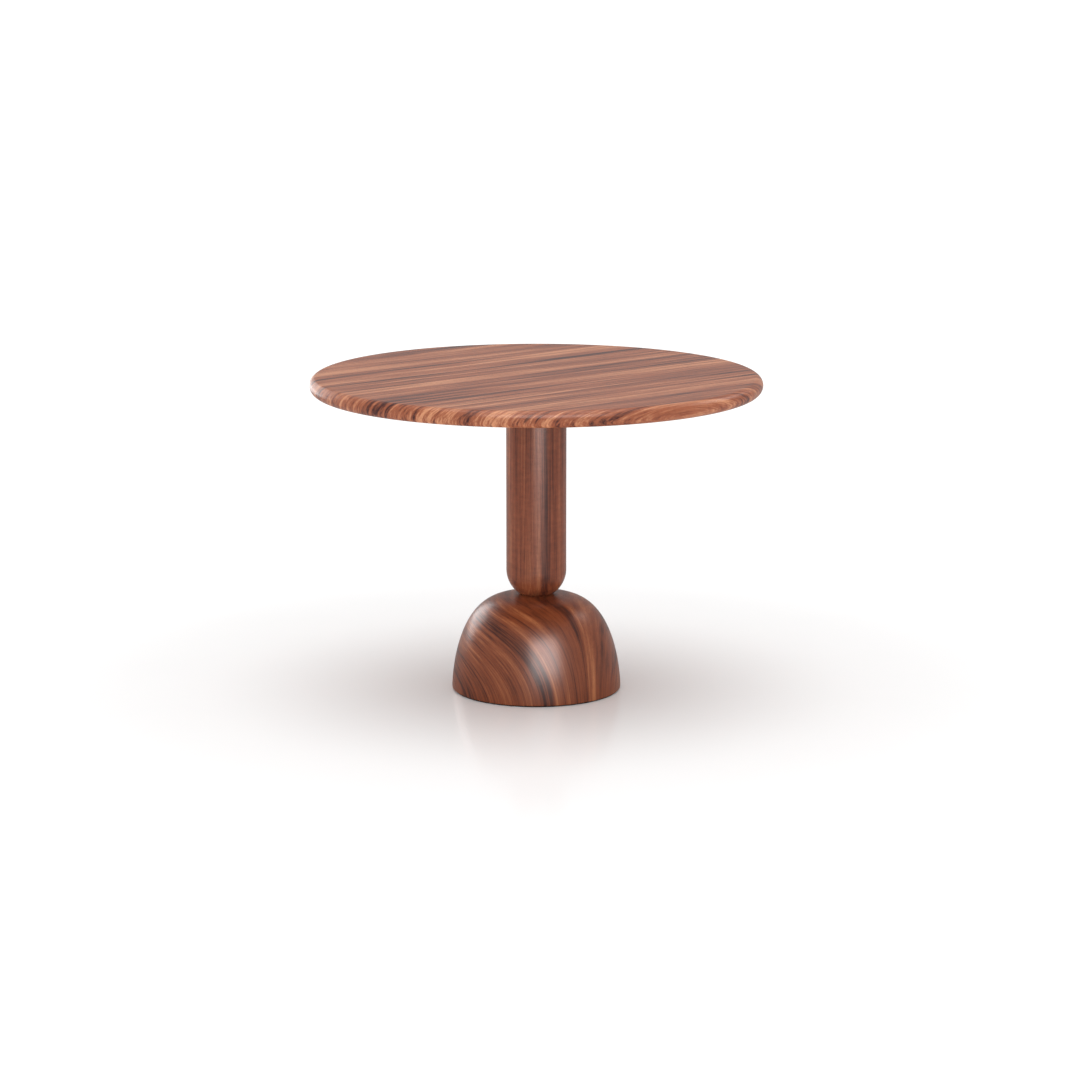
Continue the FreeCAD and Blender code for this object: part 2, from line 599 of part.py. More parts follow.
def rest_pads():
    """Two cork pads on the block that the top comes down on."""
    (width, length), (x, y) = REST_PAD_SIZE, REST_PAD_CENTRE
    pad = box((x - width / 2, x + width / 2), (y - length / 2, y + length / 2), (BLOCK_TOP, UNDERSIDE))
    pad = pad.makeFillet(PAD_CORNER_RADIUS, [e for e in pad.Edges if is_along(e, Z_AXIS)])
    return list(both_sides(pad))


def stop_pads():
    """Two cork pads on the block's front that the top comes to rest on when it is upright."""
    (width, height), (x, drop) = STOP_PAD_SIZE, STOP_PAD_CENTRE
    y_range = (-BLOCK_HALF_LENGTH - REST_PAD_THICKNESS, -BLOCK_HALF_LENGTH)
    z = PIVOT_Z - drop
    pad = box((x - width / 2, x + width / 2), y_range, (z - height / 2, z + height / 2))
    pad = pad.makeFillet(PAD_CORNER_RADIUS, [e for e in pad.Edges if is_along(e, Y_AXIS)])
    return list(both_sides(pad))


def dowel_holes():
    low, high = BLOCK_FOOT - DOWEL_LENGTH / 2, BLOCK_FOOT + DOWEL_LENGTH / 2
    return [upright(DOWEL_RADIUS + DOWEL_GAP, low, high, x, y) for x, y in DOWEL_PLACES]


def head_dowels():
    """Two fluted-length dowels that stop the block turning on the column."""
    low, high = BLOCK_FOOT - DOWEL_LENGTH / 2, BLOCK_FOOT + DOWEL_LENGTH / 2
    found = []
    for x, y in DOWEL_PLACES:
        dowel = upright(DOWEL_RADIUS, low, high, x, y)
        found.append(dowel.makeChamfer(1.0, [e for e in dowel.Edges if len(e.Vertexes) == 1]))
    return found


# ---- Column, tie rod and dome
def column():
    """The turned column: straight, then a half-round end cut to a flat seat, with a tenon below it."""
    centre = SEAT_Z + math.sqrt(COLUMN_RADIUS**2 - SEAT_RADIUS**2)
    half_way = (math.asin(SEAT_RADIUS / COLUMN_RADIUS) + math.pi / 2) / 2
    middle = (COLUMN_RADIUS * math.sin(half_way), centre - COLUMN_RADIUS * math.cos(half_way))
    tenon_foot = SEAT_Z - TENON_LENGTH
    edges = chain([(COLUMN_RADIUS, centre), (COLUMN_RADIUS, BLOCK_FOOT), (0, BLOCK_FOOT), (0, tenon_foot)])
    edges += chain([(0, tenon_foot), (TENON_RADIUS, tenon_foot), (TENON_RADIUS, SEAT_Z)])
    edges += chain([(TENON_RADIUS, SEAT_Z), (SEAT_RADIUS, SEAT_Z)])
    edges += [arc((SEAT_RADIUS, SEAT_Z), middle, (COLUMN_RADIUS, centre))]
    bore = upright(ROD_RADIUS + ROD_PASSAGE_GAP, tenon_foot, BLOCK_FOOT)
    return less(turned(edges), [bore] + dowel_holes())


def tie_rod():
    high = UPPER_SEAT + WASHER_THICKNESS + ROD_NUT_HEIGHT + ROD_END
    low = LOWER_SEAT - WASHER_THICKNESS - ROD_NUT_HEIGHT - ROD_END
    rod = upright(ROD_RADIUS, low, high)
    return rod.makeChamfer(1.2, [e for e in rod.Edges if len(e.Vertexes) == 1])


def upper_washer():
    return tube(UPPER_WASHER_RADIUS, ROD_RADIUS + ROD_PASSAGE_GAP, UPPER_SEAT, UPPER_SEAT + WASHER_THICKNESS)


def upper_nut():
    low = UPPER_SEAT + WASHER_THICKNESS
    return nut(ROD_NUT_FLATS, ROD_RADIUS + RUNNING_GAP, low, low + ROD_NUT_HEIGHT)


def lower_washer():
    low = LOWER_SEAT - WASHER_THICKNESS
    return tube(LOWER_WASHER_RADIUS, ROD_RADIUS + ROD_PASSAGE_GAP, low, LOWER_SEAT)


def lower_nut():
    high = LOWER_SEAT - WASHER_THICKNESS
    return nut(ROD_NUT_FLATS, ROD_RADIUS + RUNNING_GAP, high - ROD_NUT_HEIGHT, high)


def dome_curve(radius, height, inner_end):
    """The superellipse's upper half as one smooth edge, from its foot in to a radius."""
    last = math.acos((inner_end / radius) ** (CROWN_POWER / 2))
    points = []
    for k in range(DOME_POINTS):
        turn = last * k / (DOME_POINTS - 1)
        r = radius * math.cos(turn) ** (2 / CROWN_POWER)
        z = height * math.sin(turn) ** (2 / RISE_POWER)
        points.append(Vector(r, 0, DOME_FOOT + z))
    curve = Part.BSplineCurve()
    curve.interpolate(points)
    return curve.toShape()


def base_dome():
    """The turned dome: a flat seat and mortise on top, pockets and a rebate for the plate below."""
    edges = [dome_curve(BASE_RADIUS, DOME_HEIGHT, SEAT_RADIUS)]
    edges += chain([(SEAT_RADIUS, SEAT_Z), (0, SEAT_Z), (0, DOME_FOOT), (BASE_RADIUS, DOME_FOOT)])
    body = turned(edges)
    rim = [e for e in body.Edges if e.BoundBox.ZMax < DOME_FOOT + 0.01 and len(e.Vertexes) == 1]
    body = body.makeChamfer(RIM_ROUND, rim)
    ballast_ceiling = PLATE_TOP + BALLAST_THICKNESS + BALLAST_GAP
    cutters = [
        upright(BASE_RADIUS - RIM_WIDTH, DOME_FOOT, PLATE_TOP),
        upright(BALLAST_POCKET_RADIUS, PLATE_TOP, ballast_ceiling),
        upright(LOWER_WASHER_RADIUS + WASHER_SEAT_GAP, ballast_ceiling, LOWER_SEAT),
        upright(ROD_RADIUS + ROD_PASSAGE_GAP, LOWER_SEAT, SEAT_Z),
        upright(TENON_RADIUS + GLUE_GAP, SEAT_Z - TENON_LENGTH - TENON_END_GAP, SEAT_Z),
    ]
    pocket_ceiling = PLATE_TOP + LEVELLER_POCKET_DEPTH
    cutters += [upright(LEVELLER_POCKET_RADIUS, PLATE_TOP, pocket_ceiling, x, y) for x, y in LEVELLER_PLACES]
    pilot_end = PLATE_TOP + PLATE_SCREW_BITE
    cutters += [upright(PLATE_SCREW_RADIUS, PLATE_TOP, pilot_end, x, y) for x, y in PLATE_SCREW_PLACES]
    return less(body, cutters)


# ---- Base plate, ballast and what they stand on
def floor_ring():
    outer = BASE_RADIUS - RING_SETBACK
    return tube(outer, outer - RING_WIDTH, 0.0, RING_THICKNESS)


def plate_screw_length():
    return PLATE_THICKNESS + PLATE_SCREW_BITE


def base_plate():
    """The steel plate let into the dome's foot, countersunk from below and tapped for the levellers."""
    plate = upright(PLATE_RADIUS, PLATE_FOOT, PLATE_TOP)
    wood = countersink(PLATE_SCREW_HEAD_RADIUS, PLATE_SCREW_RADIUS, PLATE_THICKNESS)
    iron = countersink(BALLAST_SCREW_HEAD_RADIUS, BALLAST_SCREW_RADIUS, PLATE_THICKNESS)
    cutters = [at(wood, x, y, PLATE_FOOT) for x, y in PLATE_SCREW_PLACES]
    cutters += [at(iron, x, y, PLATE_FOOT) for x, y in BALLAST_SCREW_PLACES]
    cutters += [upright(STUD_RADIUS + RUNNING_GAP, PLATE_FOOT, PLATE_TOP, x, y) for x, y in LEVELLER_PLACES]
    return less(plate, cutters)


def base_plate_screws():
    screw = countersunk_screw(PLATE_SCREW_HEAD_RADIUS, PLATE_SCREW_RADIUS, plate_screw_length())
    return [at(screw, x, y, PLATE_FOOT) for x, y in PLATE_SCREW_PLACES]


def ballast():
    """The cast-iron disc, chamfered, with a cored hole and tapped holes in its underside."""
    low, high = PLATE_TOP, PLATE_TOP + BALLAST_THICKNESS
    disc = upright(BALLAST_RADIUS, low, high)
    disc = disc.makeChamfer(BALLAST_CHAMFER, [e for e in disc.Edges if len(e.Vertexes) == 1])
    cutters = [upright(BALLAST_CORE_RADIUS, low, high)]
    cutters += [
        upright(BALLAST_SCREW_RADIUS, low, low + BALLAST_SCREW_BITE, x, y) for x, y in BALLAST_SCREW_PLACES
    ]
    return less(disc, cutters)


def ballast_screws():
    length = PLATE_THICKNESS + BALLAST_SCREW_BITE
    screw = countersunk_screw(BALLAST_SCREW_HEAD_RADIUS, BALLAST_SCREW_RADIUS, length)
    return [at(screw, x, y, PLATE_FOOT) for x, y in BALLAST_SCREW_PLACES]


def weld_nuts():
    bore = STUD_RADIUS + RUNNING_GAP
    high = PLATE_TOP + WELD_NUT_HEIGHT
    return [nut(WELD_NUT_FLATS, bore, PLATE_TOP, high, x, y) for x, y in LEVELLER_PLACES]


PAD_TOP = PAD_FLOOR_GAP + PAD_HEIGHT


def leveller_pad(x, y):
    """A nylon pad with a socket for the stud's end."""
    pad = upright(PAD_RADIUS, PAD_FLOOR_GAP, PAD_TOP, x, y)
    pad = pad.makeFillet(PAD_ROUND, [e for e in pad.Edges if len(e.Vertexes) == 1])
    return pad.cut(upright(STUD_RADIUS + RUNNING_GAP, PAD_TOP - STUD_IN_PAD, PAD_TOP, x, y))


def leveller_stud(x, y):
    """A stud with a hexagon to turn it by."""
    low, hex_low = PAD_TOP - STUD_IN_PAD + RUNNING_GAP, PAD_TOP + RUNNING_GAP
    stud = upright(STUD_RADIUS, low, low + STUD_LENGTH, x, y)
    ends = [e for e in stud.Edges if len(e.Vertexes) == 1 and e.BoundBox.ZMin > low + 1]
    stud = stud.makeChamfer(1.0, ends)
    return stud.fuse(hexagon(STUD_HEX_FLATS, hex_low, hex_low + STUD_HEX_HEIGHT, x, y)).removeSplitter()


# ---- Every node
def is_along(edge, axis):
    """Whether an edge is straight and parallel to an axis."""
    if len(edge.Vertexes) != 2 or edge.Curve.TypeId != "Part::GeomLine":
        return False
    run = edge.Vertexes[1].Point - edge.Vertexes[0].Point
    return abs(abs(run.normalize().dot(axis)) - 1) < 1e-6


def nodes():
    """{node name: its solid, or a list of the solids that share the node}."""
    found = {
        "table_top": table_top(),
        "bearer_screws": bearer_screws(),
        "bearer_washers": bearer_washers(),
        "catch_body": catch_body(),
        "catch_cap": catch_cap(),
        "catch_screws": catch_screws(),
        "catch_spring": catch_spring(),
        "catch_bolt": catch_bolt(),
        "catch_knob": catch_knob(),
        "strike_plate": strike_plate(),
        "strike_screws": strike_screws(),
        "head_block": head_block(),
        "rest_pads": rest_pads(),
        "stop_pads": stop_pads(),
        "head_dowels": head_dowels(),
        "upper_washer": upper_washer(),
        "upper_nut": upper_nut(),
        "tie_rod": tie_rod(),
        "lower_washer": lower_washer(),
        "lower_nut": lower_nut(),
        "column": column(),
        "base_dome": base_dome(),
        "ballast": ballast(),
        "ballast_screws": ballast_screws(),
        "base_plate": base_plate(),
        "base_plate_screws": base_plate_screws(),
        "weld_nuts": weld_nuts(),
        "floor_ring": floor_ring(),
    }
    pairs = {
        "bearer": bearer(),
        "pivot_bush": pivot_bush(),
        "pivot_insert": pivot_insert(),
        "pivot_bolt": pivot_bolt(),
    }
    for name, shape in pairs.items():
        found[name + "_left"], found[name + "_right"] = both_sides(shape)
    for number, (x, y) in enumerate(LEVELLER_PLACES, 1):
        found[f"leveller_pad_{number}"] = leveller_pad(x, y)
        found[f"leveller_stud_{number}"] = leveller_stud(x, y)
    return found


def main():
    os.makedirs("parts", exist_ok=True)
    for name, made in nodes().items():
        shape = Part.makeCompound(made) if isinstance(made, list) else made
        for solid in shape.Solids:
            if not solid.isValid() or solid.Volume <= 0:
                print(f"{name}: a solid isn't valid")
        shape.exportStep(f"parts/{name}.step")
        print(f"{name}: {len(shape.Solids)} solid(s), {shape.Volume / 1000:.2f} cm3")
    rim_z = PIVOT_Z - (TOP_RADIUS + PIVOT_Y)
    print(f"Tilted to 90 degrees, the rim hangs to {rim_z:.1f}, and the dome's seat is at {SEAT_Z:.1f}")


main()
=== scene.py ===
"""Tilt-top pedestal table in walnut: the surfaces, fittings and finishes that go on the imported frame.

Everything is in metres in the frame's own axes: +Z up, the origin on the floor at the column's axis,
X along the top's grain and the tilt axis. The top tips towards -Y, and the catch is on the +Y side.
"""

import json
import math

import bmesh
import bpy
from mathutils import Matrix, Vector


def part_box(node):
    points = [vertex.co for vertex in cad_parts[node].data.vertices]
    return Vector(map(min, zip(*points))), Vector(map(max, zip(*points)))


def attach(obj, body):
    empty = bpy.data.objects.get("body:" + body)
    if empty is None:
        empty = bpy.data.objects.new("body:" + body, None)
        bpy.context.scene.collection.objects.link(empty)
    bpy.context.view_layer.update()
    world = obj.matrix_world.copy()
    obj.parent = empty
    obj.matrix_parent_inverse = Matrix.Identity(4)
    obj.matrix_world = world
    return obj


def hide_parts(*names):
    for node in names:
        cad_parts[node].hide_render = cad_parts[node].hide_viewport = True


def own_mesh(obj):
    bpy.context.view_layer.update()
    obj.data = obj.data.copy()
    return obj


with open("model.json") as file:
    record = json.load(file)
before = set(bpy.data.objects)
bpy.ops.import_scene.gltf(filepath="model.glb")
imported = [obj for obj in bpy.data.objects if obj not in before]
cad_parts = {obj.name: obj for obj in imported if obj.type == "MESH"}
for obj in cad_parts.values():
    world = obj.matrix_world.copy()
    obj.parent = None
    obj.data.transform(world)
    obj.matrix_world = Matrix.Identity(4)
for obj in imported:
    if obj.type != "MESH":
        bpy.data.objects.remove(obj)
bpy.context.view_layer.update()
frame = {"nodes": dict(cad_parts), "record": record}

MM = 0.001
SAME_PLACE = 0.002 * MM
RECORD = frame["record"]
BODY_OF = {node: body for body, nodes in RECORD["behaviour"]["bodies"].items() for node in nodes}
SLOT_OF = {part["node"]: part["material_slot"] for part in RECORD["subparts"]}


# ---- Nodes, shared by the shaders and the geometry trees
class Bench:
    """Adds nodes to one tree and joins them up."""

    def __init__(self, tree):
        self.tree = tree

    def add(self, kind, settings=None, **inputs):
        """A new node. A key of inputs is a socket's name, with _ for a space."""
        made = self.tree.nodes.new(kind)
        for key, value in (settings or {}).items():
            setattr(made, key, value)
        for key, value in inputs.items():
            self.feed(made.inputs[key.replace("_", " ")], value)
        return made

    def feed(self, socket, value):
        if isinstance(value, bpy.types.Node):
            value = value.outputs[0]
        if isinstance(value, bpy.types.NodeSocket):
            self.tree.links.new(value, socket)
        else:
            socket.default_value = value

    def math(self, operation, *values, clamp=False):
        made = self.tree.nodes.new("ShaderNodeMath")
        made.operation = operation
        made.use_clamp = clamp
        for socket, value in zip(made.inputs, values):
            self.feed(socket, value)
        return made.outputs[0]

    def times(self, first, second):
        return self.math("MULTIPLY", first, second)

    def vector(self, operation, *values):
        made = self.tree.nodes.new("ShaderNodeVectorMath")
        made.operation = operation
        for socket, value in zip(made.inputs, values):
            self.feed(socket, value)
        return made.outputs["Value" if operation == "LENGTH" else "Vector"]

    def axes(self, x, y, z):
        return self.add("ShaderNodeCombineXYZ", X=x, Y=y, Z=z).outputs[0]

    def split(self, vector):
        made = self.add("ShaderNodeSeparateXYZ")
        self.feed(made.inputs[0], vector)
        return made.outputs

    def noise(self, place, scales, detail=2.0, roughness=0.5):
        """Noise, 0 to 1, whose cells are 1 / scales metres along each axis of place."""
        stretched = self.vector("MULTIPLY", place, scales)
        return self.add("ShaderNodeTexNoise", Vector=stretched, Scale=1.0, Detail=detail,
                        Roughness=roughness).outputs[0]

    def remap(self, value, low, high, out_low=0.0, out_high=1.0, smooth=True):
        kind = "SMOOTHSTEP" if smooth else "LINEAR"
        made = self.add("ShaderNodeMapRange", {"interpolation_type": kind})
        for socket, number in zip(made.inputs, (value, low, high, out_low, out_high)):
            self.feed(socket, number)
        return made.outputs[0]

    def tint(self, factor, first, second, blend="MIX"):
        made = self.add("ShaderNodeMix", {"data_type": "RGBA", "blend_type": blend})
        for name, value in (("Factor_Float", factor), ("A_Color", first), ("B_Color", second)):
            socket = next(s for s in made.inputs if s.identifier == name)
            self.feed(socket, value)
        return next(s for s in made.outputs if s.identifier == "Result_Color")

    def ramp(self, factor, stops):
        made = self.add("ShaderNodeValToRGB", Fac=factor)
        made.color_ramp.interpolation = "EASE"
        held = made.color_ramp.elements
        while len(held) < len(stops):
            held.new(0.5)
        for element, (place, colour) in zip(held, stops):
            element.position = place
            element.color = (*colour, 1.0)
        return made.outputs[0]


def add_sockets(group, way, sockets):
    """Gives a group its inputs or outputs, each (name, kind) or (name, kind, default)."""
    for key, kind, *start in sockets:
        made = group.interface.new_socket(key, in_out=way, socket_type="NodeSocket" + kind)
        if start:
            made.default_value = start[0]


def effect_group(name, inputs):
    """An empty shader group from named inputs to a surface, its bench and its sockets."""
    group = bpy.data.node_groups.new(name, "ShaderNodeTree")
    add_sockets(group, "INPUT", inputs)
    add_sockets(group, "OUTPUT", [("Color", "Color"), ("Roughness", "Float"), ("Height", "Float")])
    bench = Bench(group)
    return group, bench, bench.add("NodeGroupInput").outputs, bench.add("NodeGroupOutput").inputs


# ---- Shared effects
# Noise cells for each metre of wood: along the grain, across the growth layers, and along the layers
SLOW_BENDS, QUICK_BENDS = (1.3, 5.0, 5.0), (9.0, 45.0, 30.0)
BROAD_BANDS, LAYERS, FINE_LAYERS = (0.5, 17.0, 3.0), (0.9, 62.0, 9.0), (4.0, 260.0, 60.0)
FIBRES, PORES, RIPPLES = (28.0, 1100.0, 700.0), (60.0, 2400.0, 1800.0), (95.0, 42.0, 42.0)
DARK_LINES, LINE_GROUPS = (0.7, 95.0, 12.0), (0.6, 21.0, 4.0)


def walnut_figure():
    """Walnut's figure. Place is in metres: X along the grain, Y across the growth layers, Z along them."""
    group, bench, given, out = effect_group(
        "walnut_figure",
        [
            ("Place", "Vector"),
            ("Wander", "Float", 0.012),
            ("Dark", "Color", (0.06, 0.02, 0.012, 1)),
            ("Middle", "Color", (0.21, 0.072, 0.032, 1)),
            ("Light", "Color", (0.36, 0.15, 0.075, 1)),
            ("Streaks", "Float", 1.0),
            ("Ripple", "Float", 0.06),
        ],
    )
    place, wander = given["Place"], given["Wander"]
    along, across, depth = bench.split(place)

    # The layers wander to and fro along the board
    slow = bench.math("SUBTRACT", bench.noise(place, SLOW_BENDS), 0.5)
    quick = bench.math("SUBTRACT", bench.noise(place, QUICK_BENDS), 0.5)
    bent = bench.math("MULTIPLY_ADD", slow, bench.times(wander, 2.0), across)
    bent = bench.math("MULTIPLY_ADD", quick, bench.times(wander, 0.25), bent)
    grain = bench.axes(along, bent, depth)

    # Early wood and late wood, at three scales
    broad = bench.noise(grain, BROAD_BANDS)
    medium = bench.noise(grain, LAYERS, 3.0, 0.6)
    fine = bench.noise(grain, FINE_LAYERS, 3.0, 0.65)
    tone = bench.math("MULTIPLY_ADD", medium, 0.38, bench.times(broad, 0.34))
    tone = bench.math("MULTIPLY_ADD", fine, 0.28, tone)
    tone = bench.remap(tone, 0.39, 0.61, smooth=False)
    colour = bench.tint(bench.remap(tone, 0.0, 0.5), given["Dark"], given["Middle"])
    colour = bench.tint(bench.remap(tone, 0.45, 1.0), colour, given["Light"])

    # Thin dark lines that come in groups
    line = bench.remap(bench.noise(grain, DARK_LINES, 1.5), 0.60, 0.74)
    here = bench.remap(bench.noise(grain, LINE_GROUPS, 1.0), 0.44, 0.60)
    streak = bench.times(bench.times(line, here), given["Streaks"])
    colour = bench.tint(bench.math("MULTIPLY", streak, 0.75, clamp=True), colour, given["Dark"])

    # Fibres, open pores and the faint ripple across the grain
    fibre = bench.noise(grain, FIBRES, 2.0, 0.6)
    pores = bench.remap(bench.noise(grain, PORES, 0.0), 0.66, 0.78)
    pores = bench.times(pores, bench.remap(broad, 0.35, 0.6, 0.3, 1.0))
    ripple = bench.remap(bench.noise(grain, RIPPLES, 2.0, 0.55), 0.32, 0.68, -1.0, 1.0, smooth=False)
    ripple = bench.times(ripple, given["Ripple"])
    shade = bench.remap(fibre, 0.25, 0.75, 0.86, 1.12, smooth=False)
    shade = bench.times(shade, bench.math("ADD", ripple, 1.0))
    shade = bench.math("SUBTRACT", shade, bench.times(pores, 0.42))
    bench.feed(out["Color"], bench.tint(1.0, colour, bench.axes(shade, shade, shade), "MULTIPLY"))

    dull = bench.math("MULTIPLY_ADD", pores, 0.18, bench.remap(fibre, 0.2, 0.8, -0.02, 0.03))
    bench.feed(out["Roughness"], bench.math("MULTIPLY_ADD", streak, 0.03, dull))
    height = bench.math("MULTIPLY_ADD", fibre, 0.35, bench.times(fine, 0.4))
    bench.feed(out["Height"], bench.math("SUBTRACT", height, pores))
    return group


FIGURE = walnut_figure()


def finish_material(name):
    """(material, bench, principled shader, Object coordinates) of a new material."""
    material = bpy.data.materials.new(name)
    material.use_nodes = True
    material.node_tree.nodes.clear()
    bench = Bench(material.node_tree)
    shader = bench.add("ShaderNodeBsdfPrincipled")
    bench.add("ShaderNodeOutputMaterial", Surface=shader)
    place = bench.add("ShaderNodeTexCoord").outputs["Object"]
    return material, bench, shader, place


def set_surface(bench, shader, colour, roughness, height, strength, depth):
    """Gives a shader its colour, its roughness and a bump of this depth."""
    bench.feed(shader.inputs["Base Color"], colour)
    bench.feed(shader.inputs["Roughness"], roughness)
    bump = bench.add("ShaderNodeBump", Strength=strength, Distance=depth, Height=height)
    bench.feed(shader.inputs["Normal"], bump)


LACQUER_IOR = 1.45
GRAIN_DEPTH = 0.06 * MM


def lacquered_wood(name, grain_place, dark, middle, light, roughness=0.30, wander=0.012, streaks=1.0,
                   ripple=0.06):
    """Satin-lacquered wood. grain_place(bench, place) gives the figure's place on this piece."""
    material, bench, shader, place = finish_material(name)
    figure = bench.add(
        "ShaderNodeGroup", {"node_tree": FIGURE}, Place=grain_place(bench, place), Wander=wander,
        Streaks=streaks, Ripple=ripple, Dark=(*dark, 1), Middle=(*middle, 1), Light=(*light, 1),
    ).outputs
    dulled = bench.math("ADD", figure["Roughness"], roughness)
    set_surface(bench, shader, figure["Color"], dulled, figure["Height"], 0.25, GRAIN_DEPTH)
    shader.inputs["IOR"].default_value = LACQUER_IOR
    return material


# ---- Where the figure runs on each piece
TOP_SLANT = 0.55
TOP_BOARD = 0.9
TOP_FIGURE_SCALE = (1.7, 1.45, 1.45)


def top_grain(bench, place):
    """Grain along X, with growth layers that lean over through the thickness."""
    x, y, z = bench.split(place)
    across = bench.math("MULTIPLY_ADD", z, TOP_SLANT, bench.math("ADD", y, TOP_BOARD))
    return bench.vector("MULTIPLY", bench.axes(x, across, z), TOP_FIGURE_SCALE)


# The column's and the dome's growth layers follow one another in this direction, in X and Y
LAYERS_TOWARDS = (0.773, -0.635)


def column_grain(bench, place):
    """Grain straight up."""
    x, y, z = bench.split(place)
    right, forward = LAYERS_TOWARDS
    across = bench.math("MULTIPLY_ADD", x, right, bench.times(y, forward))
    depth = bench.math("MULTIPLY_ADD", x, -forward, bench.times(y, right))
    return bench.axes(z, across, depth)


FAN_CENTRE = 150 * MM
FAN_POWER = 1.5
FAN_SQUEEZE = 6.957
DOME_BOARD = 0.75
DOME_DEPTH_SCALE = 0.3


def dome_grain(bench, place):
    """Grain that stands upright on one side and fans out over the crown on the other."""
    z, across, depth = bench.split(column_grain(bench, place))
    lift = bench.math("POWER", bench.math("MAXIMUM", z, 0.0), FAN_POWER)
    narrowed = bench.math("MULTIPLY_ADD", lift, -FAN_SQUEEZE, 1.0)
    fanned = bench.times(bench.math("SUBTRACT", across, FAN_CENTRE), narrowed)
    layers = bench.math("ADD", fanned, FAN_CENTRE)
    return bench.axes(z, layers, bench.math("MULTIPLY_ADD", depth, DOME_DEPTH_SCALE, DOME_BOARD))


UNDERFRAME_SLANT = 0.3


def underframe_grain(bench, place):
    """Grain along Y."""
    x, y, z = bench.split(place)
    return bench.axes(y, bench.math("MULTIPLY_ADD", z, UNDERFRAME_SLANT, x), z)


TOP_WALNUT = lacquered_wood(
    "walnut_top", top_grain, wander=0.011, ripple=0.04,
    dark=(0.055, 0.012, 0.011), middle=(0.345, 0.097, 0.042), light=(0.66, 0.285, 0.145),
)
COLUMN_WALNUT = lacquered_wood(
    "walnut_column", column_grain, wander=0.006, ripple=0.11,
    dark=(0.072, 0.017, 0.010), middle=(0.240, 0.062, 0.026), light=(0.40, 0.138, 0.060),
)
BASE_WALNUT = lacquered_wood(
    "walnut_base", dome_grain, wander=0.010, ripple=0.03, streaks=0.55,
    dark=(0.058, 0.012, 0.006), middle=(0.242, 0.060, 0.021), light=(0.45, 0.155, 0.060),
)
UNDERFRAME_WALNUT = lacquered_wood(
    "walnut_underframe", underframe_grain, roughness=0.42,
    dark=(0.08, 0.022, 0.012), middle=(0.24, 0.075, 0.032), light=(0.40, 0.16, 0.075),
)
PLAIN_BEECH = lacquered_wood(
    "beech_dowel", column_grain, roughness=0.5, streaks=0.0,
    dark=(0.42, 0.24, 0.12), middle=(0.55, 0.36, 0.20), light=(0.68, 0.49, 0.31),
)


HANDLING_CLOUDS = (40.0, 40.0, 40.0)


def worked_surface():
    """Handling marks, tool marks and specks on a plain material."""
    group, bench, given, out = effect_group(
        "worked_surface",
        [
            ("Place", "Vector"),
            ("Tool Scale", "Vector", (300.0, 300.0, 300.0)),
            ("Speck Scale", "Float", 900.0),
            ("Clean", "Color", (0.6, 0.6, 0.6, 1)),
            ("Worn", "Color", (0.3, 0.3, 0.3, 1)),
            ("Wear", "Float", 0.5),
            ("Least Roughness", "Float", 0.3),
            ("Most Roughness", "Float", 0.5),
        ],
    )
    place = given["Place"]
    cloud = bench.noise(place, HANDLING_CLOUDS, 4.0, 0.6)
    tool = bench.noise(place, given["Tool Scale"])
    speck = bench.add("ShaderNodeTexNoise", Vector=place, Scale=given["Speck Scale"], Detail=1.0).outputs[0]
    worn = bench.times(bench.remap(cloud, 0.42, 0.68), given["Wear"])
    colour = bench.tint(worn, given["Clean"], given["Worn"])
    shade = bench.remap(tool, 0.3, 0.7, 0.90, 1.08, smooth=False)
    shade = bench.times(shade, bench.remap(speck, 0.3, 0.7, 0.94, 1.06, smooth=False))
    bench.feed(out["Color"], bench.tint(1.0, colour, bench.axes(shade, shade, shade), "MULTIPLY"))
    rough = bench.math("MULTIPLY_ADD", tool, 0.5, bench.times(cloud, 0.5))
    rough = bench.remap(rough, 0.3, 0.7, given["Least Roughness"], given["Most Roughness"], smooth=False)
    bench.feed(out["Roughness"], rough)
    bench.feed(out["Height"], bench.math("MULTIPLY_ADD", speck, 0.5, bench.times(tool, 0.5)))
    return group


WORKED = worked_surface()


def plain_finish(name, clean, worn, wear, rough, metallic=0.0, tool=(300.0, 300.0, 300.0), speck=900.0,
                 bump_depth=0.04 * MM):
    """A metal, rubber or plastic finish. tool and speck are marks for each metre."""
    material, bench, shader, place = finish_material(name)
    work = bench.add(
        "ShaderNodeGroup", {"node_tree": WORKED}, Place=place, Tool_Scale=tool, Speck_Scale=speck,
        Clean=(*clean, 1), Worn=(*worn, 1), Wear=wear, Least_Roughness=rough[0], Most_Roughness=rough[1],
    ).outputs
    set_surface(bench, shader, work["Color"], work["Roughness"], work["Height"], 0.5, bump_depth)
    shader.inputs["Metallic"].default_value = metallic
    return material


GRANULES, GRANULE_DEPTH = 700.0, 0.2 * MM
BINDER_PATCHES = (260.0, 260.0, 260.0)
CORK_TONES = [(0.0, (0.17, 0.085, 0.038)), (0.5, (0.36, 0.20, 0.10)), (1.0, (0.52, 0.33, 0.18))]
BINDER = (0.08, 0.045, 0.028, 1)


def cork_finish():
    """Cork granules bound in rubber."""
    material, bench, shader, place = finish_material("cork_pad")
    cell = bench.add("ShaderNodeTexVoronoi", Vector=place, Scale=GRANULES).outputs
    tone = bench.split(cell["Color"])[0]
    binder = bench.remap(bench.noise(place, BINDER_PATCHES), 0.55, 0.7, 0.0, 0.7)
    colour = bench.tint(binder, bench.ramp(tone, CORK_TONES), BINDER)
    set_surface(bench, shader, colour, bench.remap(tone, 0.0, 1.0, 0.75, 0.92), cell["Distance"], 0.6,
                GRANULE_DEPTH)
    return material


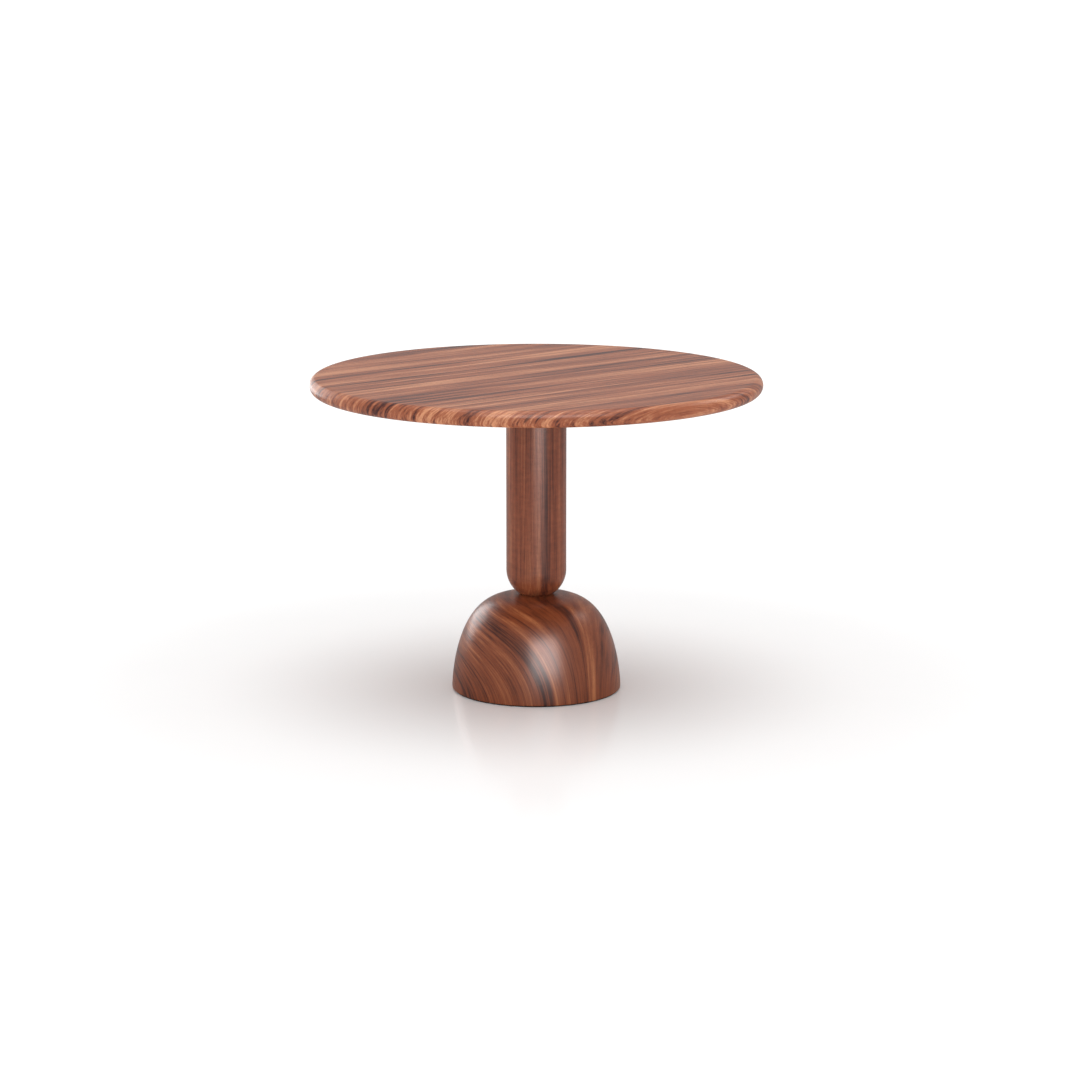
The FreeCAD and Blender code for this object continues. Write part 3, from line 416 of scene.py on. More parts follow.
# For each slot: clean and worn colours, how much is worn, least and most roughness, and its marks
METALS = {
    "zinc_steel": ((0.62, 0.63, 0.64), (0.40, 0.41, 0.40), 0.6, (0.28, 0.46), {}),
    "bright_steel": ((0.68, 0.68, 0.68), (0.46, 0.46, 0.47), 0.35, (0.16, 0.30),
                     {"tool": (1600.0, 60.0, 60.0), "bump_depth": 0.02 * MM}),
    "spring_steel": ((0.42, 0.42, 0.44), (0.24, 0.24, 0.25), 0.5, (0.28, 0.42), {}),
    "brass_bush": ((0.80, 0.60, 0.28), (0.55, 0.38, 0.17), 0.45, (0.20, 0.34),
                   {"tool": (2200.0, 80.0, 80.0), "bump_depth": 0.02 * MM}),
    "aged_brass": ((0.62, 0.44, 0.19), (0.26, 0.17, 0.085), 0.75, (0.28, 0.48),
                   {"tool": (900.0, 120.0, 900.0)}),
}
BLACKS = {
    "ballast_iron": ((0.055, 0.055, 0.057), (0.030, 0.028, 0.027), 0.7, (0.50, 0.72),
                     {"tool": (420.0, 420.0, 420.0), "speck": 260.0, "bump_depth": 0.5 * MM}),
    "black_plate": ((0.022, 0.022, 0.023), (0.040, 0.040, 0.041), 0.4, (0.38, 0.52),
                    {"tool": (700.0, 700.0, 700.0), "speck": 1300.0, "bump_depth": 0.12 * MM}),
    "nylon_pad": ((0.030, 0.030, 0.031), (0.055, 0.053, 0.050), 0.5, (0.44, 0.62),
                  {"tool": (900.0, 900.0, 900.0), "bump_depth": 0.05 * MM}),
    "black_rubber": ((0.018, 0.018, 0.019), (0.045, 0.043, 0.040), 0.6, (0.62, 0.82),
                     {"tool": (500.0, 500.0, 500.0), "speck": 1500.0, "bump_depth": 0.08 * MM}),
}
FINISHES = {
    "walnut_top": TOP_WALNUT,
    "walnut_column": COLUMN_WALNUT,
    "walnut_base": BASE_WALNUT,
    "walnut_underframe": UNDERFRAME_WALNUT,
    "beech_dowel": PLAIN_BEECH,
    "cork_pad": cork_finish(),
}
for table, metallic in ((METALS, 1.0), (BLACKS, 0.0)):
    for slot, (clean, worn, wear, rough, marks) in table.items():
        FINISHES[slot] = plain_finish(slot, clean, worn, wear, rough, metallic, **marks)


# ---- Geometry trees
CORNER_ANGLE = math.radians(28)


def shape_tree(name, inputs):
    """An empty geometry tree with named inputs and a finish, its bench, and the inputs' sockets."""
    tree = bpy.data.node_groups.new(name, "GeometryNodeTree")
    add_sockets(tree, "INPUT", [*inputs, ("Finish", "Material")])
    add_sockets(tree, "OUTPUT", [("Shape", "Geometry")])
    bench = Bench(tree)
    return tree, bench, bench.add("NodeGroupInput").outputs


def close_tree(bench, shape, given):
    """The end of every tree: real meshes, smooth but for their corners, in their finish."""
    whole = bench.add("GeometryNodeRealizeInstances", Geometry=shape)
    smooth = bench.add("GeometryNodeSetShadeSmooth", Geometry=whole)
    turn = bench.add("GeometryNodeInputMeshEdgeAngle").outputs["Unsigned Angle"]
    corner = bench.math("GREATER_THAN", turn, CORNER_ANGLE)
    crisp = bench.add("GeometryNodeSetShadeSmooth", {"domain": "EDGE"}, Geometry=smooth, Selection=corner,
                      Shade_Smooth=False)
    done = bench.add("GeometryNodeSetMaterial", Geometry=crisp, Material=given["Finish"])
    bench.feed(bench.add("NodeGroupOutput").inputs["Shape"], done)


def wrapped_grid(bench, steps, rows):
    """(grid, turn in radians, row number) of a grid that is about to be wrapped round Z."""
    columns = bench.math("ADD", steps, 1.0)
    grid = bench.add("GeometryNodeMeshGrid", Size_X=1.0, Size_Y=1.0, Vertices_X=columns, Vertices_Y=rows)
    across, up, _ = bench.split(bench.add("GeometryNodeInputPosition"))
    turn = bench.times(bench.math("ADD", across, 0.5), 2 * math.pi)
    row = bench.times(bench.math("ADD", up, 0.5), bench.math("SUBTRACT", rows, 1.0))
    return grid.outputs["Mesh"], turn, bench.math("ROUND", row)


def wrap(bench, grid, turn, radius, height):
    """The grid wrapped round Z, with its seam and poles closed."""
    x, y = (bench.times(radius, bench.math(side, turn)) for side in ("COSINE", "SINE"))
    turned = bench.add("GeometryNodeSetPosition", Geometry=grid, Position=bench.axes(x, y, height))
    return bench.add("GeometryNodeMergeByDistance", Geometry=turned, Distance=SAME_PLACE)


def lathe_tree():
    """Turns an outline of (radius, 0, height) points about Z into a closed skin."""
    tree, bench, given = shape_tree("lathe", [
        ("Outline", "Geometry"),
        ("Steps", "Int", 256),
    ])
    rows = bench.add("GeometryNodeAttributeDomainSize", Geometry=given["Outline"]).outputs["Point Count"]
    grid, turn, row = wrapped_grid(bench, given["Steps"], rows)
    sample = bench.add("GeometryNodeSampleIndex", {"data_type": "FLOAT_VECTOR", "domain": "POINT"},
                       Geometry=given["Outline"], Index=row)
    bench.feed(sample.inputs["Value"], bench.add("GeometryNodeInputPosition"))
    radius, _, height = bench.split(sample)
    close_tree(bench, wrap(bench, grid, turn, radius, height), given)
    return tree


LATHE = lathe_tree()


THREAD_STEPS = 40
ROWS_A_TURN = 8


def thread_tree():
    """A threaded rod about Z between two heights, chamfered at both ends."""
    tree, bench, given = shape_tree("thread", [
        ("Radius", "Float", 0.006),
        ("Depth", "Float", 0.0009),
        ("Pitch", "Float", 0.00175),
        ("Low", "Float", 0.0),
        ("High", "Float", 0.05),
    ])
    radius, depth, pitch, low = (given[name] for name in ("Radius", "Depth", "Pitch", "Low"))
    tall = bench.math("SUBTRACT", given["High"], low)

    # The first and last two rows close the ends, and the rest share out the height
    turns = bench.math("DIVIDE", tall, pitch)
    rows = bench.math("ROUND", bench.math("MULTIPLY_ADD", turns, float(ROWS_A_TURN), 5.0))
    grid, turn, row = wrapped_grid(bench, float(THREAD_STEPS), rows)
    gaps = bench.math("SUBTRACT", rows, 3.0)
    share = bench.math("DIVIDE", bench.math("SUBTRACT", row, 1.0), gaps, clamp=True)
    rise = bench.times(share, tall)

    # The groove is a ridge wave cut off flat at its crest and its root
    phase = bench.math("DIVIDE", turn, 2 * math.pi)
    phase = bench.math("SUBTRACT", bench.math("DIVIDE", rise, pitch), phase)
    ridge = bench.math("ABSOLUTE", bench.math("MULTIPLY_ADD", bench.math("FRACT", phase), 2.0, -1.0))
    cut = bench.times(bench.math("MULTIPLY_ADD", ridge, 1.5, -0.25, clamp=True), depth)
    threaded = bench.math("SUBTRACT", radius, cut)

    to_end = bench.math("MINIMUM", rise, bench.math("SUBTRACT", tall, rise))
    chamfered = bench.math("ADD", bench.math("SUBTRACT", radius, depth), to_end)
    threaded = bench.math("MINIMUM", threaded, chamfered)
    before_last = bench.math("LESS_THAN", row, bench.math("SUBTRACT", rows, 1.5))
    inside = bench.times(bench.math("GREATER_THAN", row, 0.5), before_last)
    threaded = bench.times(threaded, inside)
    close_tree(bench, wrap(bench, grid, turn, threaded, bench.math("ADD", rise, low)), given)
    return tree


THREAD = thread_tree()


STEPS_A_RIDGE = 6


def knurl_tree():
    """A turned piece with straight knurling between two heights."""
    tree, bench, given = shape_tree("knurled", [
        ("Outline", "Geometry"),
        ("Ridges", "Int", 48),
        ("Depth", "Float", 0.0004),
        ("Low", "Float", 0.0),
        ("High", "Float", 0.01),
        ("Grip Radius", "Float", 0.008),
    ])
    steps = bench.times(given["Ridges"], float(STEPS_A_RIDGE))
    turned = bench.add("GeometryNodeGroup", {"node_tree": LATHE}, Outline=given["Outline"], Steps=steps,
                       Finish=given["Finish"])
    x, y, z = bench.split(bench.add("GeometryNodeInputPosition"))
    turn = bench.math("ARCTAN2", y, x)
    radius = bench.math("SQRT", bench.math("MULTIPLY_ADD", x, x, bench.times(y, y)))
    half_waves = bench.times(turn, bench.times(given["Ridges"], 0.5))
    groove = bench.math("SUBTRACT", 1.0, bench.math("ABSOLUTE", bench.math("SINE", half_waves)))
    above, beneath = bench.math("GREATER_THAN", z, given["Low"]), bench.math("LESS_THAN", z, given["High"])
    gripped = bench.math("GREATER_THAN", radius, given["Grip Radius"])
    band = bench.times(bench.times(above, beneath), gripped)
    inwards = bench.times(given["Depth"], -1.0)
    sink = bench.times(bench.times(groove, band), inwards)
    outwards = bench.axes(bench.math("COSINE", turn), bench.math("SINE", turn), 0.0)
    offset = bench.vector("MULTIPLY", outwards, bench.axes(sink, sink, 0.0))
    close_tree(bench, bench.add("GeometryNodeSetPosition", Geometry=turned, Offset=offset), given)
    return tree


KNURLED = knurl_tree()


SCREW_STEPS = 48


def screw_tree():
    """A turned screw with a crossed recess, stood head down at each of the places, then leant over."""
    tree, bench, given = shape_tree("screw_set", [
        ("Outline", "Geometry"),
        ("Places", "Object"),
        ("Blade Length", "Float", 0.0045),
        ("Blade Width", "Float", 0.0009),
        ("Blade Depth", "Float", 0.0014),
        ("Lean", "Vector", (0.0, 0.0, 0.0)),
        ("Seed", "Int", 1),
    ])
    screw = bench.add("GeometryNodeGroup", {"node_tree": LATHE}, Outline=given["Outline"],
                      Steps=SCREW_STEPS, Finish=given["Finish"])
    both_sides = bench.times(given["Blade Depth"], 2.0)
    size = bench.axes(given["Blade Length"], given["Blade Width"], both_sides)
    blade = bench.add("GeometryNodeMeshCube", Size=size).outputs["Mesh"]
    other = bench.add("GeometryNodeTransform", Geometry=blade, Rotation=(0.0, 0.0, math.pi / 2))
    cut = bench.add("GeometryNodeMeshBoolean", {"operation": "DIFFERENCE"})
    bench.feed(cut.inputs["Mesh 1"], screw)
    for tool in (blade, other):
        bench.feed(cut.inputs["Mesh 2"], tool)
    places = bench.add("GeometryNodeObjectInfo", Object=given["Places"]).outputs["Geometry"]
    stood = bench.add("GeometryNodeInstanceOnPoints", Points=places, Instance=cut.outputs["Mesh"],
                      Rotation=given["Lean"])
    chance = bench.add("FunctionNodeRandomValue", {"data_type": "FLOAT"}, Seed=given["Seed"])
    for key, value in (("Min_001", 0.0), ("Max_001", math.pi)):
        next(i for i in chance.inputs if i.identifier == key).default_value = value
    spin = next(o for o in chance.outputs if o.identifier == "Value_001")
    spun = bench.add("GeometryNodeRotateInstances", Instances=stood, Rotation=bench.axes(0.0, 0.0, spin),
                     Local_Space=True)
    close_tree(bench, spun, given)
    return tree


SCREW_SET = screw_tree()


def spring_tree():
    """A coil spring along Z, drawn from its wire."""
    tree, bench, given = shape_tree("coil_spring", [
        ("Turns", "Float", 8.0),
        ("Coil Radius", "Float", 0.0029),
        ("Wire Radius", "Float", 0.0004),
        ("Length", "Float", 0.02),
    ])
    coil = given["Coil Radius"]
    line = bench.add("GeometryNodeCurveSpiral", Resolution=32, Rotations=given["Turns"], Start_Radius=coil,
                     End_Radius=coil, Height=given["Length"])
    ring = bench.add("GeometryNodeCurvePrimitiveCircle", Resolution=12, Radius=given["Wire Radius"])
    wire = bench.add("GeometryNodeCurveToMesh", Curve=line, Profile_Curve=ring.outputs["Curve"],
                     Fill_Caps=True)
    close_tree(bench, wire, given)
    return tree


SPRING = spring_tree()


# ---- Pieces from trees and outlines
def set_input(modifier, name, value):
    """Sets a tree's input by its name."""
    socket = next(s for s in modifier.node_group.interface.items_tree
                  if s.item_type == "SOCKET" and s.in_out == "INPUT" and s.name == name)
    modifier[socket.identifier] = value


def plain_mesh(maker, name):
    """The evaluated mesh of an object with a geometry tree on it, as a new object. The maker goes."""
    bpy.context.view_layer.update()
    graph = bpy.context.evaluated_depsgraph_get()
    mesh = bpy.data.meshes.new_from_object(maker.evaluated_get(graph), depsgraph=graph)
    mesh.name = name
    bpy.data.objects.remove(maker)
    face_outwards(mesh)
    return shown(name, mesh)


def face_outwards(mesh):
    """Turns an inside-out mesh the right way."""
    shape = bmesh.new()
    shape.from_mesh(mesh)
    if shape.calc_volume(signed=True) < 0:
        bmesh.ops.reverse_faces(shape, faces=shape.faces)
        shape.to_mesh(mesh)
    shape.free()


def shown(name, data):
    """A new object in the scene, of a mesh, a lamp or a camera."""
    made = bpy.data.objects.new(name, data)
    bpy.context.scene.collection.objects.link(made)
    return made


def points_object(name, points, in_line=True):
    """An object of bare points, joined in a line or not."""
    mesh = bpy.data.meshes.new(name)
    edges = [(k, k + 1) for k in range(len(points) - 1)] if in_line else []
    mesh.from_pydata([tuple(p) for p in points], edges, [])
    return shown(name, mesh)


def shape_from(name, tree, outline=(), **inputs):
    """A mesh object from a geometry tree. A key of inputs is an input's name, with _ for a space."""
    maker = points_object(name + "_outline", [(r, 0.0, z) for r, z in outline])
    modifier = maker.modifiers.new(tree.name, "NODES")
    modifier.node_group = tree
    for key, value in inputs.items():
        set_input(modifier, key.replace("_", " "), value)
    return plain_mesh(maker, name)


def turn_piece(name, points, finish, steps):
    """A turned piece from its outline, which runs from pole to pole or right round."""
    return shape_from(name, LATHE, points, Steps=steps, Finish=finish)


def shift(piece, offset, turn_x=0.0):
    """Turns a piece's mesh about X in degrees, then moves it."""
    piece.data.transform(Matrix.Translation(offset) @ Matrix.Rotation(math.radians(turn_x), 4, "X"))
    return piece


def joined(name, pieces):
    """One mesh object from several, which go."""
    whole = bmesh.new()
    finishes = []
    for piece in pieces:
        whole.from_mesh(piece.data)
        finishes += [m for m in piece.data.materials if m not in finishes]
        bpy.data.objects.remove(piece)
    mesh = bpy.data.meshes.new(name)
    whole.to_mesh(mesh)
    whole.free()
    for finish in finishes:
        mesh.materials.append(finish)
    return shown(name, mesh)


def place_piece(piece, *nodes):
    """The piece stands for these CAD nodes, on their body."""
    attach(piece, BODY_OF[nodes[0]])
    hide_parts(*nodes)
    return piece


def sweep(centre, radius, start, end, steps):
    """Points on an arc in the outline's plane, from one angle to another in degrees."""
    turns = [math.radians(start + (end - start) * k / steps) for k in range(steps + 1)]
    return [(centre[0] + radius * math.cos(a), centre[1] + radius * math.sin(a)) for a in turns]


def along(first, second, steps):
    """Points evenly along a line, without its first point."""
    return [tuple(a + (b - a) * k / steps for a, b in zip(first, second)) for k in range(1, steps + 1)]


# ---- The top
TOP_LOW, TOP_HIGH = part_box("table_top")
UNDERSIDE, SURFACE = TOP_LOW.z, TOP_HIGH.z
TOP_RADIUS = (TOP_HIGH.x - TOP_LOW.x + TOP_HIGH.y - TOP_LOW.y) / 4
NOSE = (SURFACE - UNDERSIDE) / 2


def tabletop():
    """The round top, with a full bullnose edge."""
    flat = TOP_RADIUS - NOSE
    points = [(0.0, UNDERSIDE)] + along((0.0, UNDERSIDE), (flat, UNDERSIDE), 12)
    points += sweep((flat, UNDERSIDE + NOSE), NOSE, -90, 90, 40)[1:]
    points += along((flat, SURFACE), (0.0, SURFACE), 12)
    place_piece(turn_piece("tabletop", points, TOP_WALNUT, 384), "table_top")


# ---- The column
COLUMN_LOW, COLUMN_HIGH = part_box("column")
COLUMN_RADIUS = (COLUMN_HIGH.x - COLUMN_LOW.x) / 2
DOME_LOW, DOME_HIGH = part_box("base_dome")
SEAT_Z = DOME_HIGH.z
SEAT_RADIUS = 38 * MM
TENON_RADIUS = 25 * MM
ROD_BORE = 6.5 * MM


def turned_column():
    """A tenon, a half-round foot on the dome's seat and a plain shaft, bored for the tie rod."""
    centre = SEAT_Z + math.sqrt(COLUMN_RADIUS**2 - SEAT_RADIUS**2)
    first = math.degrees(math.asin((SEAT_Z - centre) / COLUMN_RADIUS))
    points = [(ROD_BORE, COLUMN_LOW.z), (TENON_RADIUS, COLUMN_LOW.z), (TENON_RADIUS, SEAT_Z)]
    points += sweep((0.0, centre), COLUMN_RADIUS, first, 0, 32)
    points += along((COLUMN_RADIUS, centre), (COLUMN_RADIUS, COLUMN_HIGH.z), 16)
    points += [(ROD_BORE, COLUMN_HIGH.z), (ROD_BORE, COLUMN_LOW.z)]
    place_piece(turn_piece("turned_column", points, COLUMN_WALNUT, 192), "column")


# ---- The dome: (r / radius) ** CROWN_POWER + (z / rise) ** RISE_POWER = 1
BASE_RADIUS = (DOME_HIGH.x - DOME_LOW.x) / 2
CROWN_POWER, RISE_POWER = 3.77, 1.73
DOME_RISE = 225 * MM
DOME_ROWS = 72
RIM_ROUND, RIM_START = 1.0 * MM, 0.3 * MM
POCKET_RADIUS, NUT_RECESS_RADIUS = 169 * MM, 31 * MM
PLATE_GAP, BALLAST_GAP, GLUE_GAP, WASHER_GAP = 0.5 * MM, 1.5 * MM, 0.1 * MM, 0.05 * MM
TENON_END_GAP = 2 * MM


def turned_dome():
    """The dome, hollowed from below for the base plate, the ballast and the tie rod's nut."""
    plate_low, plate_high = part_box("base_plate")
    rebate = (plate_high.x - plate_low.x) / 2 + PLATE_GAP
    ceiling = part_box("ballast")[1].z + BALLAST_GAP
    nut_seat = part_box("lower_washer")[1].z + WASHER_GAP
    mortise, mortise_floor = TENON_RADIUS + GLUE_GAP, COLUMN_LOW.z - TENON_END_GAP
    foot = DOME_LOW.z
    inside = [
        (mortise, SEAT_Z), (mortise, mortise_floor), (ROD_BORE, mortise_floor), (ROD_BORE, nut_seat),
        (NUT_RECESS_RADIUS, nut_seat), (NUT_RECESS_RADIUS, ceiling), (POCKET_RADIUS, ceiling),
        (POCKET_RADIUS, plate_high.z), (rebate, plate_high.z), (rebate, foot),
    ]
    rim = [(BASE_RADIUS - RIM_ROUND, foot), (BASE_RADIUS - RIM_START, foot + RIM_START)]
    last = math.acos((SEAT_RADIUS / BASE_RADIUS) ** (CROWN_POWER / 2))
    turns = [last * k / DOME_ROWS for k in range(1, DOME_ROWS + 1)]
    outside = [(BASE_RADIUS * math.cos(turn) ** (2 / CROWN_POWER),
                foot + DOME_RISE * math.sin(turn) ** (2 / RISE_POWER)) for turn in turns]
    points = inside + rim + outside + inside[:1]
    place_piece(turn_piece("turned_dome", points, BASE_WALNUT, 256), "base_dome")


tabletop()
turned_column()
turned_dome()


# ---- Pieces that keep a CAD node's own shape, with their sharp edges eased
EASED_WIDTHS = {
    "head_block": 0.8, "bearer_left": 0.8, "bearer_right": 0.8, "rest_pads": 0.25, "stop_pads": 0.25,
    "head_dowels": 0.5, "catch_body": 0.5, "catch_cap": 0.3, "catch_bolt": 0.3, "strike_plate": 0.3,
    "pivot_bolt_left": 0.3, "pivot_bolt_right": 0.3, "pivot_bush_left": 0.2, "pivot_bush_right": 0.2,
    "pivot_insert_left": 0.2, "pivot_insert_right": 0.2, "upper_washer": 0.3, "upper_nut": 0.7,
    "lower_washer": 0.3, "lower_nut": 0.7, "base_plate": 0.4, "ballast": 0.8, "weld_nuts": 0.4,
}
FLAT_ANGLE, EASED_ANGLE, CRISP_ANGLE = math.radians(0.5), math.radians(40), math.radians(25)


def merged_copy(node):
    """A CAD node's shape as a bmesh, with its loose triangles joined up."""
    shape = bmesh.new()
    shape.from_mesh(frame["nodes"][node].data)
    bmesh.ops.remove_doubles(shape, verts=shape.verts, dist=SAME_PLACE)
    return shape


def eased(node, width):
    """A CAD node's shape with its corners eased by width in millimetres."""
    shape = merged_copy(node)
    bmesh.ops.dissolve_limit(shape, angle_limit=FLAT_ANGLE, verts=shape.verts, edges=shape.edges)
    corners = [e for e in shape.edges if len(e.link_faces) == 2 and e.calc_face_angle(0) > EASED_ANGLE]
    bmesh.ops.bevel(shape, geom=corners, offset=width * MM, offset_type="OFFSET", segments=2, profile=0.5,
                    affect="EDGES", clamp_overlap=True)
    mesh = bpy.data.meshes.new(node + "_finished")
    shape.to_mesh(mesh)
    shape.free()
    mesh.shade_smooth()
    mesh.set_sharp_from_angle(angle=CRISP_ANGLE)
    mesh.materials.append(FINISHES[SLOT_OF[node]])
    return place_piece(shown(mesh.name, mesh), node)


# ---- Screws and washers
def solids(node):
    """(lowest corner, highest corner) of each separate solid in a CAD node."""
    shape = merged_copy(node)
    left, boxes = set(shape.verts), []
    while left:
        island, edge = set(), [left.pop()]
        while edge:
            vert = edge.pop()
            island.add(vert)
            for other in (e.other_vert(vert) for e in vert.link_edges):
                if other in left:
                    left.discard(other)
                    edge.append(other)
        low = Vector([min(v.co[k] for v in island) for k in range(3)])
        high = Vector([max(v.co[k] for v in island) for k in range(3)])
        boxes.append((low, high))
    shape.free()
    return sorted(boxes, key=lambda pair: tuple(round(c, 5) for c in pair[0]))


def under(low, high):
    """The middle of a box's lowest face."""
    return Vector(((low.x + high.x) / 2, (low.y + high.y) / 2, low.z))


def behind(low, high):
    """The middle of a box's face on its +Y side."""
    return Vector(((low.x + high.x) / 2, high.y, (low.z + high.z) / 2))


def screws(name, node, outline, head_width, head=under, **inputs):
    """A set of screws at a CAD node's places. head gives the middle of a screw's face from its box."""
    places = points_object(name + "_places", [head(low, high) for low, high in solids(node)], in_line=False)
    made = shape_from(name, SCREW_SET, outline, Places=places, Blade_Length=head_width / 2,
                      Finish=FINISHES[SLOT_OF[node]], **inputs)
    bpy.data.objects.remove(places)
    place_piece(made, node)


def pan_outline(radius, head_radius, head_height, length, tip):
    """A pan-head wood screw that points up, from the pole of its face to its point."""
    crown = head_radius * 0.6
    points = [(0.0, 0.0), (crown, 0.0)]
    for k in range(1, 9):
        turn = math.radians(90 * k / 8)
        points.append((crown + (head_radius - crown) * math.sin(turn), head_height * (1 - math.cos(turn))))
    return points + [(radius, head_height), (radius, length - tip), (0.0, length)]


HEAD_EDGE = 0.1 * MM


def sunk_outline(radius, head_radius, length):
    """A countersunk screw that points up, from the pole of its flat face to its point."""
    cone = head_radius - radius
    return [(0.0, 0.0), (head_radius - HEAD_EDGE, 0.0), (head_radius, HEAD_EDGE), (radius, cone),
            (radius, length - radius), (0.0, length)]


PAN_HEIGHT, PAN_TIP = 3.4 * MM, 5 * MM
SCREW_RADII = {
    "bearer_screws": 2.5 * MM, "catch_screws": 1.75 * MM, "base_plate_screws": 2.5 * MM,
    "ballast_screws": 4.0 * MM, "strike_screws": 1.75 * MM,
}


def screw_size(node):
    """The size along X, Y and Z of a CAD node's first screw."""
    low, high = solids(node)[0]
    return high - low


def all_screws():
    node = "bearer_screws"
    size = screw_size(node)
    outline = pan_outline(SCREW_RADII[node], size.x / 2, PAN_HEIGHT, size.z, PAN_TIP)
    screws("bearer_screw_set", node, outline, size.x, Seed=3)
    for name, node in (("catch_screw_set", "catch_screws"), ("plate_screw_set", "base_plate_screws"),
                       ("ballast_screw_set", "ballast_screws")):
        size = screw_size(node)
        screws(name, node, sunk_outline(SCREW_RADII[node], size.x / 2, size.z), size.x, Seed=5)
    node = "strike_screws"
    size = screw_size(node)
    outline = sunk_outline(SCREW_RADII[node], size.x / 2, size.y)
    screws("strike_screw_set", node, outline, size.x, behind, Lean=(math.pi / 2, 0.0, 0.0), Seed=7)


WASHER_HOLE, WASHER_EASE = 2.9 * MM, 0.2 * MM


def washers():
    """The bearer screws' washers, turned and stood at each screw."""
    boxes = solids("bearer_washers")
    size = boxes[0][1] - boxes[0][0]
    outer, thick = size.x / 2, size.z
    flat = outer - WASHER_EASE
    loop = [(WASHER_HOLE, 0.0), (flat, 0.0), (outer, WASHER_EASE), (outer, thick - WASHER_EASE),
            (flat, thick), (WASHER_HOLE, thick), (WASHER_HOLE, 0.0)]
    rings = [shift(turn_piece(f"washer_{k}", loop, FINISHES["zinc_steel"], 40), under(low, high))
             for k, (low, high) in enumerate(boxes)]
    place_piece(joined("bearer_washer_set", rings), "bearer_washers")


# ---- Tie rod and levellers
THREADED_LENGTH = 60 * MM
SHANK_RELIEF = 0.45 * MM


def threaded_rod():
    """The tie rod: threaded ends and a plain shank that runs a little way into both."""
    low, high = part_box("tie_rod")
    radius = (high.x - low.x) / 2
    steel = FINISHES["zinc_steel"]
    bottom, top = low.z + THREADED_LENGTH, high.z - THREADED_LENGTH
    pieces = [shape_from(f"rod_end_{k}", THREAD, Radius=radius, Low=start, High=end, Finish=steel)
              for k, (start, end) in enumerate(((low.z, bottom), (top, high.z)))]
    plain, start, end = radius - SHANK_RELIEF, bottom - MM, top + MM
    shank = [(0.0, start), (plain, start), (plain, end), (0.0, end)]
    pieces.append(turn_piece("rod_shank", shank, steel, 40))
    place_piece(joined("threaded_rod", pieces), "tie_rod")


FOOT_ROUND = 1.2 * MM
STUD_SOCKET_RADIUS, STUD_SOCKET_FLOOR = 4.05 * MM, 2.5 * MM
STUD_RADIUS, STUD_DEPTH, STUD_PITCH = 4 * MM, 0.65 * MM, 1.25 * MM
HEXAGON_ACROSS, HEXAGON_HEIGHT, HEXAGON_EASE = 13 * MM, 5 * MM, 0.6 * MM
HEXAGON_BORE, HEXAGON_GAP = 3.0 * MM, 0.05 * MM


def leveller(n):
    """A leveller's moulded pad and its threaded stud with a hexagon."""
    low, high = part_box(f"leveller_pad_{n}")
    middle = under(low, high)
    radius, tall = (high.x - low.x) / 2, high.z - low.z
    loop = [(0.0, 0.0)] + sweep((radius - FOOT_ROUND, FOOT_ROUND), FOOT_ROUND, -90, 0, 5)
    loop += [(radius, 1.8 * MM), (radius * 0.93, 2.6 * MM), (7.2 * MM, tall - 0.4 * MM), (6.6 * MM, tall),
             (STUD_SOCKET_RADIUS, tall), (STUD_SOCKET_RADIUS, STUD_SOCKET_FLOOR), (0.0, STUD_SOCKET_FLOOR)]
    pad = turn_piece(f"leveller_foot_{n}", loop, FINISHES["nylon_pad"], 64)
    place_piece(shift(pad, middle), f"leveller_pad_{n}")

    steel = FINISHES["zinc_steel"]
    stud_low, stud_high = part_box(f"leveller_stud_{n}")
    thread = shape_from(f"stud_thread_{n}", THREAD, Radius=STUD_RADIUS, Depth=STUD_DEPTH, Pitch=STUD_PITCH,
                        Low=stud_low.z, High=stud_high.z, Finish=steel)
    corner = HEXAGON_ACROSS / math.sqrt(3)
    hex_low = high.z + HEXAGON_GAP
    hex_high = hex_low + HEXAGON_HEIGHT
    flat = corner - HEXAGON_EASE
    hexagon = [(HEXAGON_BORE, hex_low), (flat, hex_low), (corner, hex_low + HEXAGON_EASE),
               (corner, hex_high - HEXAGON_EASE), (flat, hex_high), (HEXAGON_BORE, hex_high),
               (HEXAGON_BORE, hex_low)]
    nut = turn_piece(f"stud_hexagon_{n}", hexagon, steel, 6)
    stud = joined(f"leveller_screw_{n}", [thread, nut])
    place_piece(shift(stud, Vector((middle.x, middle.y, 0.0))), f"leveller_stud_{n}")


# ---- Catch knob, floor ring and spring
KNOB_ROUND = 1.2 * MM
STEM_RADIUS, NECK_RADIUS = 2.5 * MM, 4.5 * MM
KNOB_RIDGES, RIDGE_DEPTH = 40, 0.45 * MM


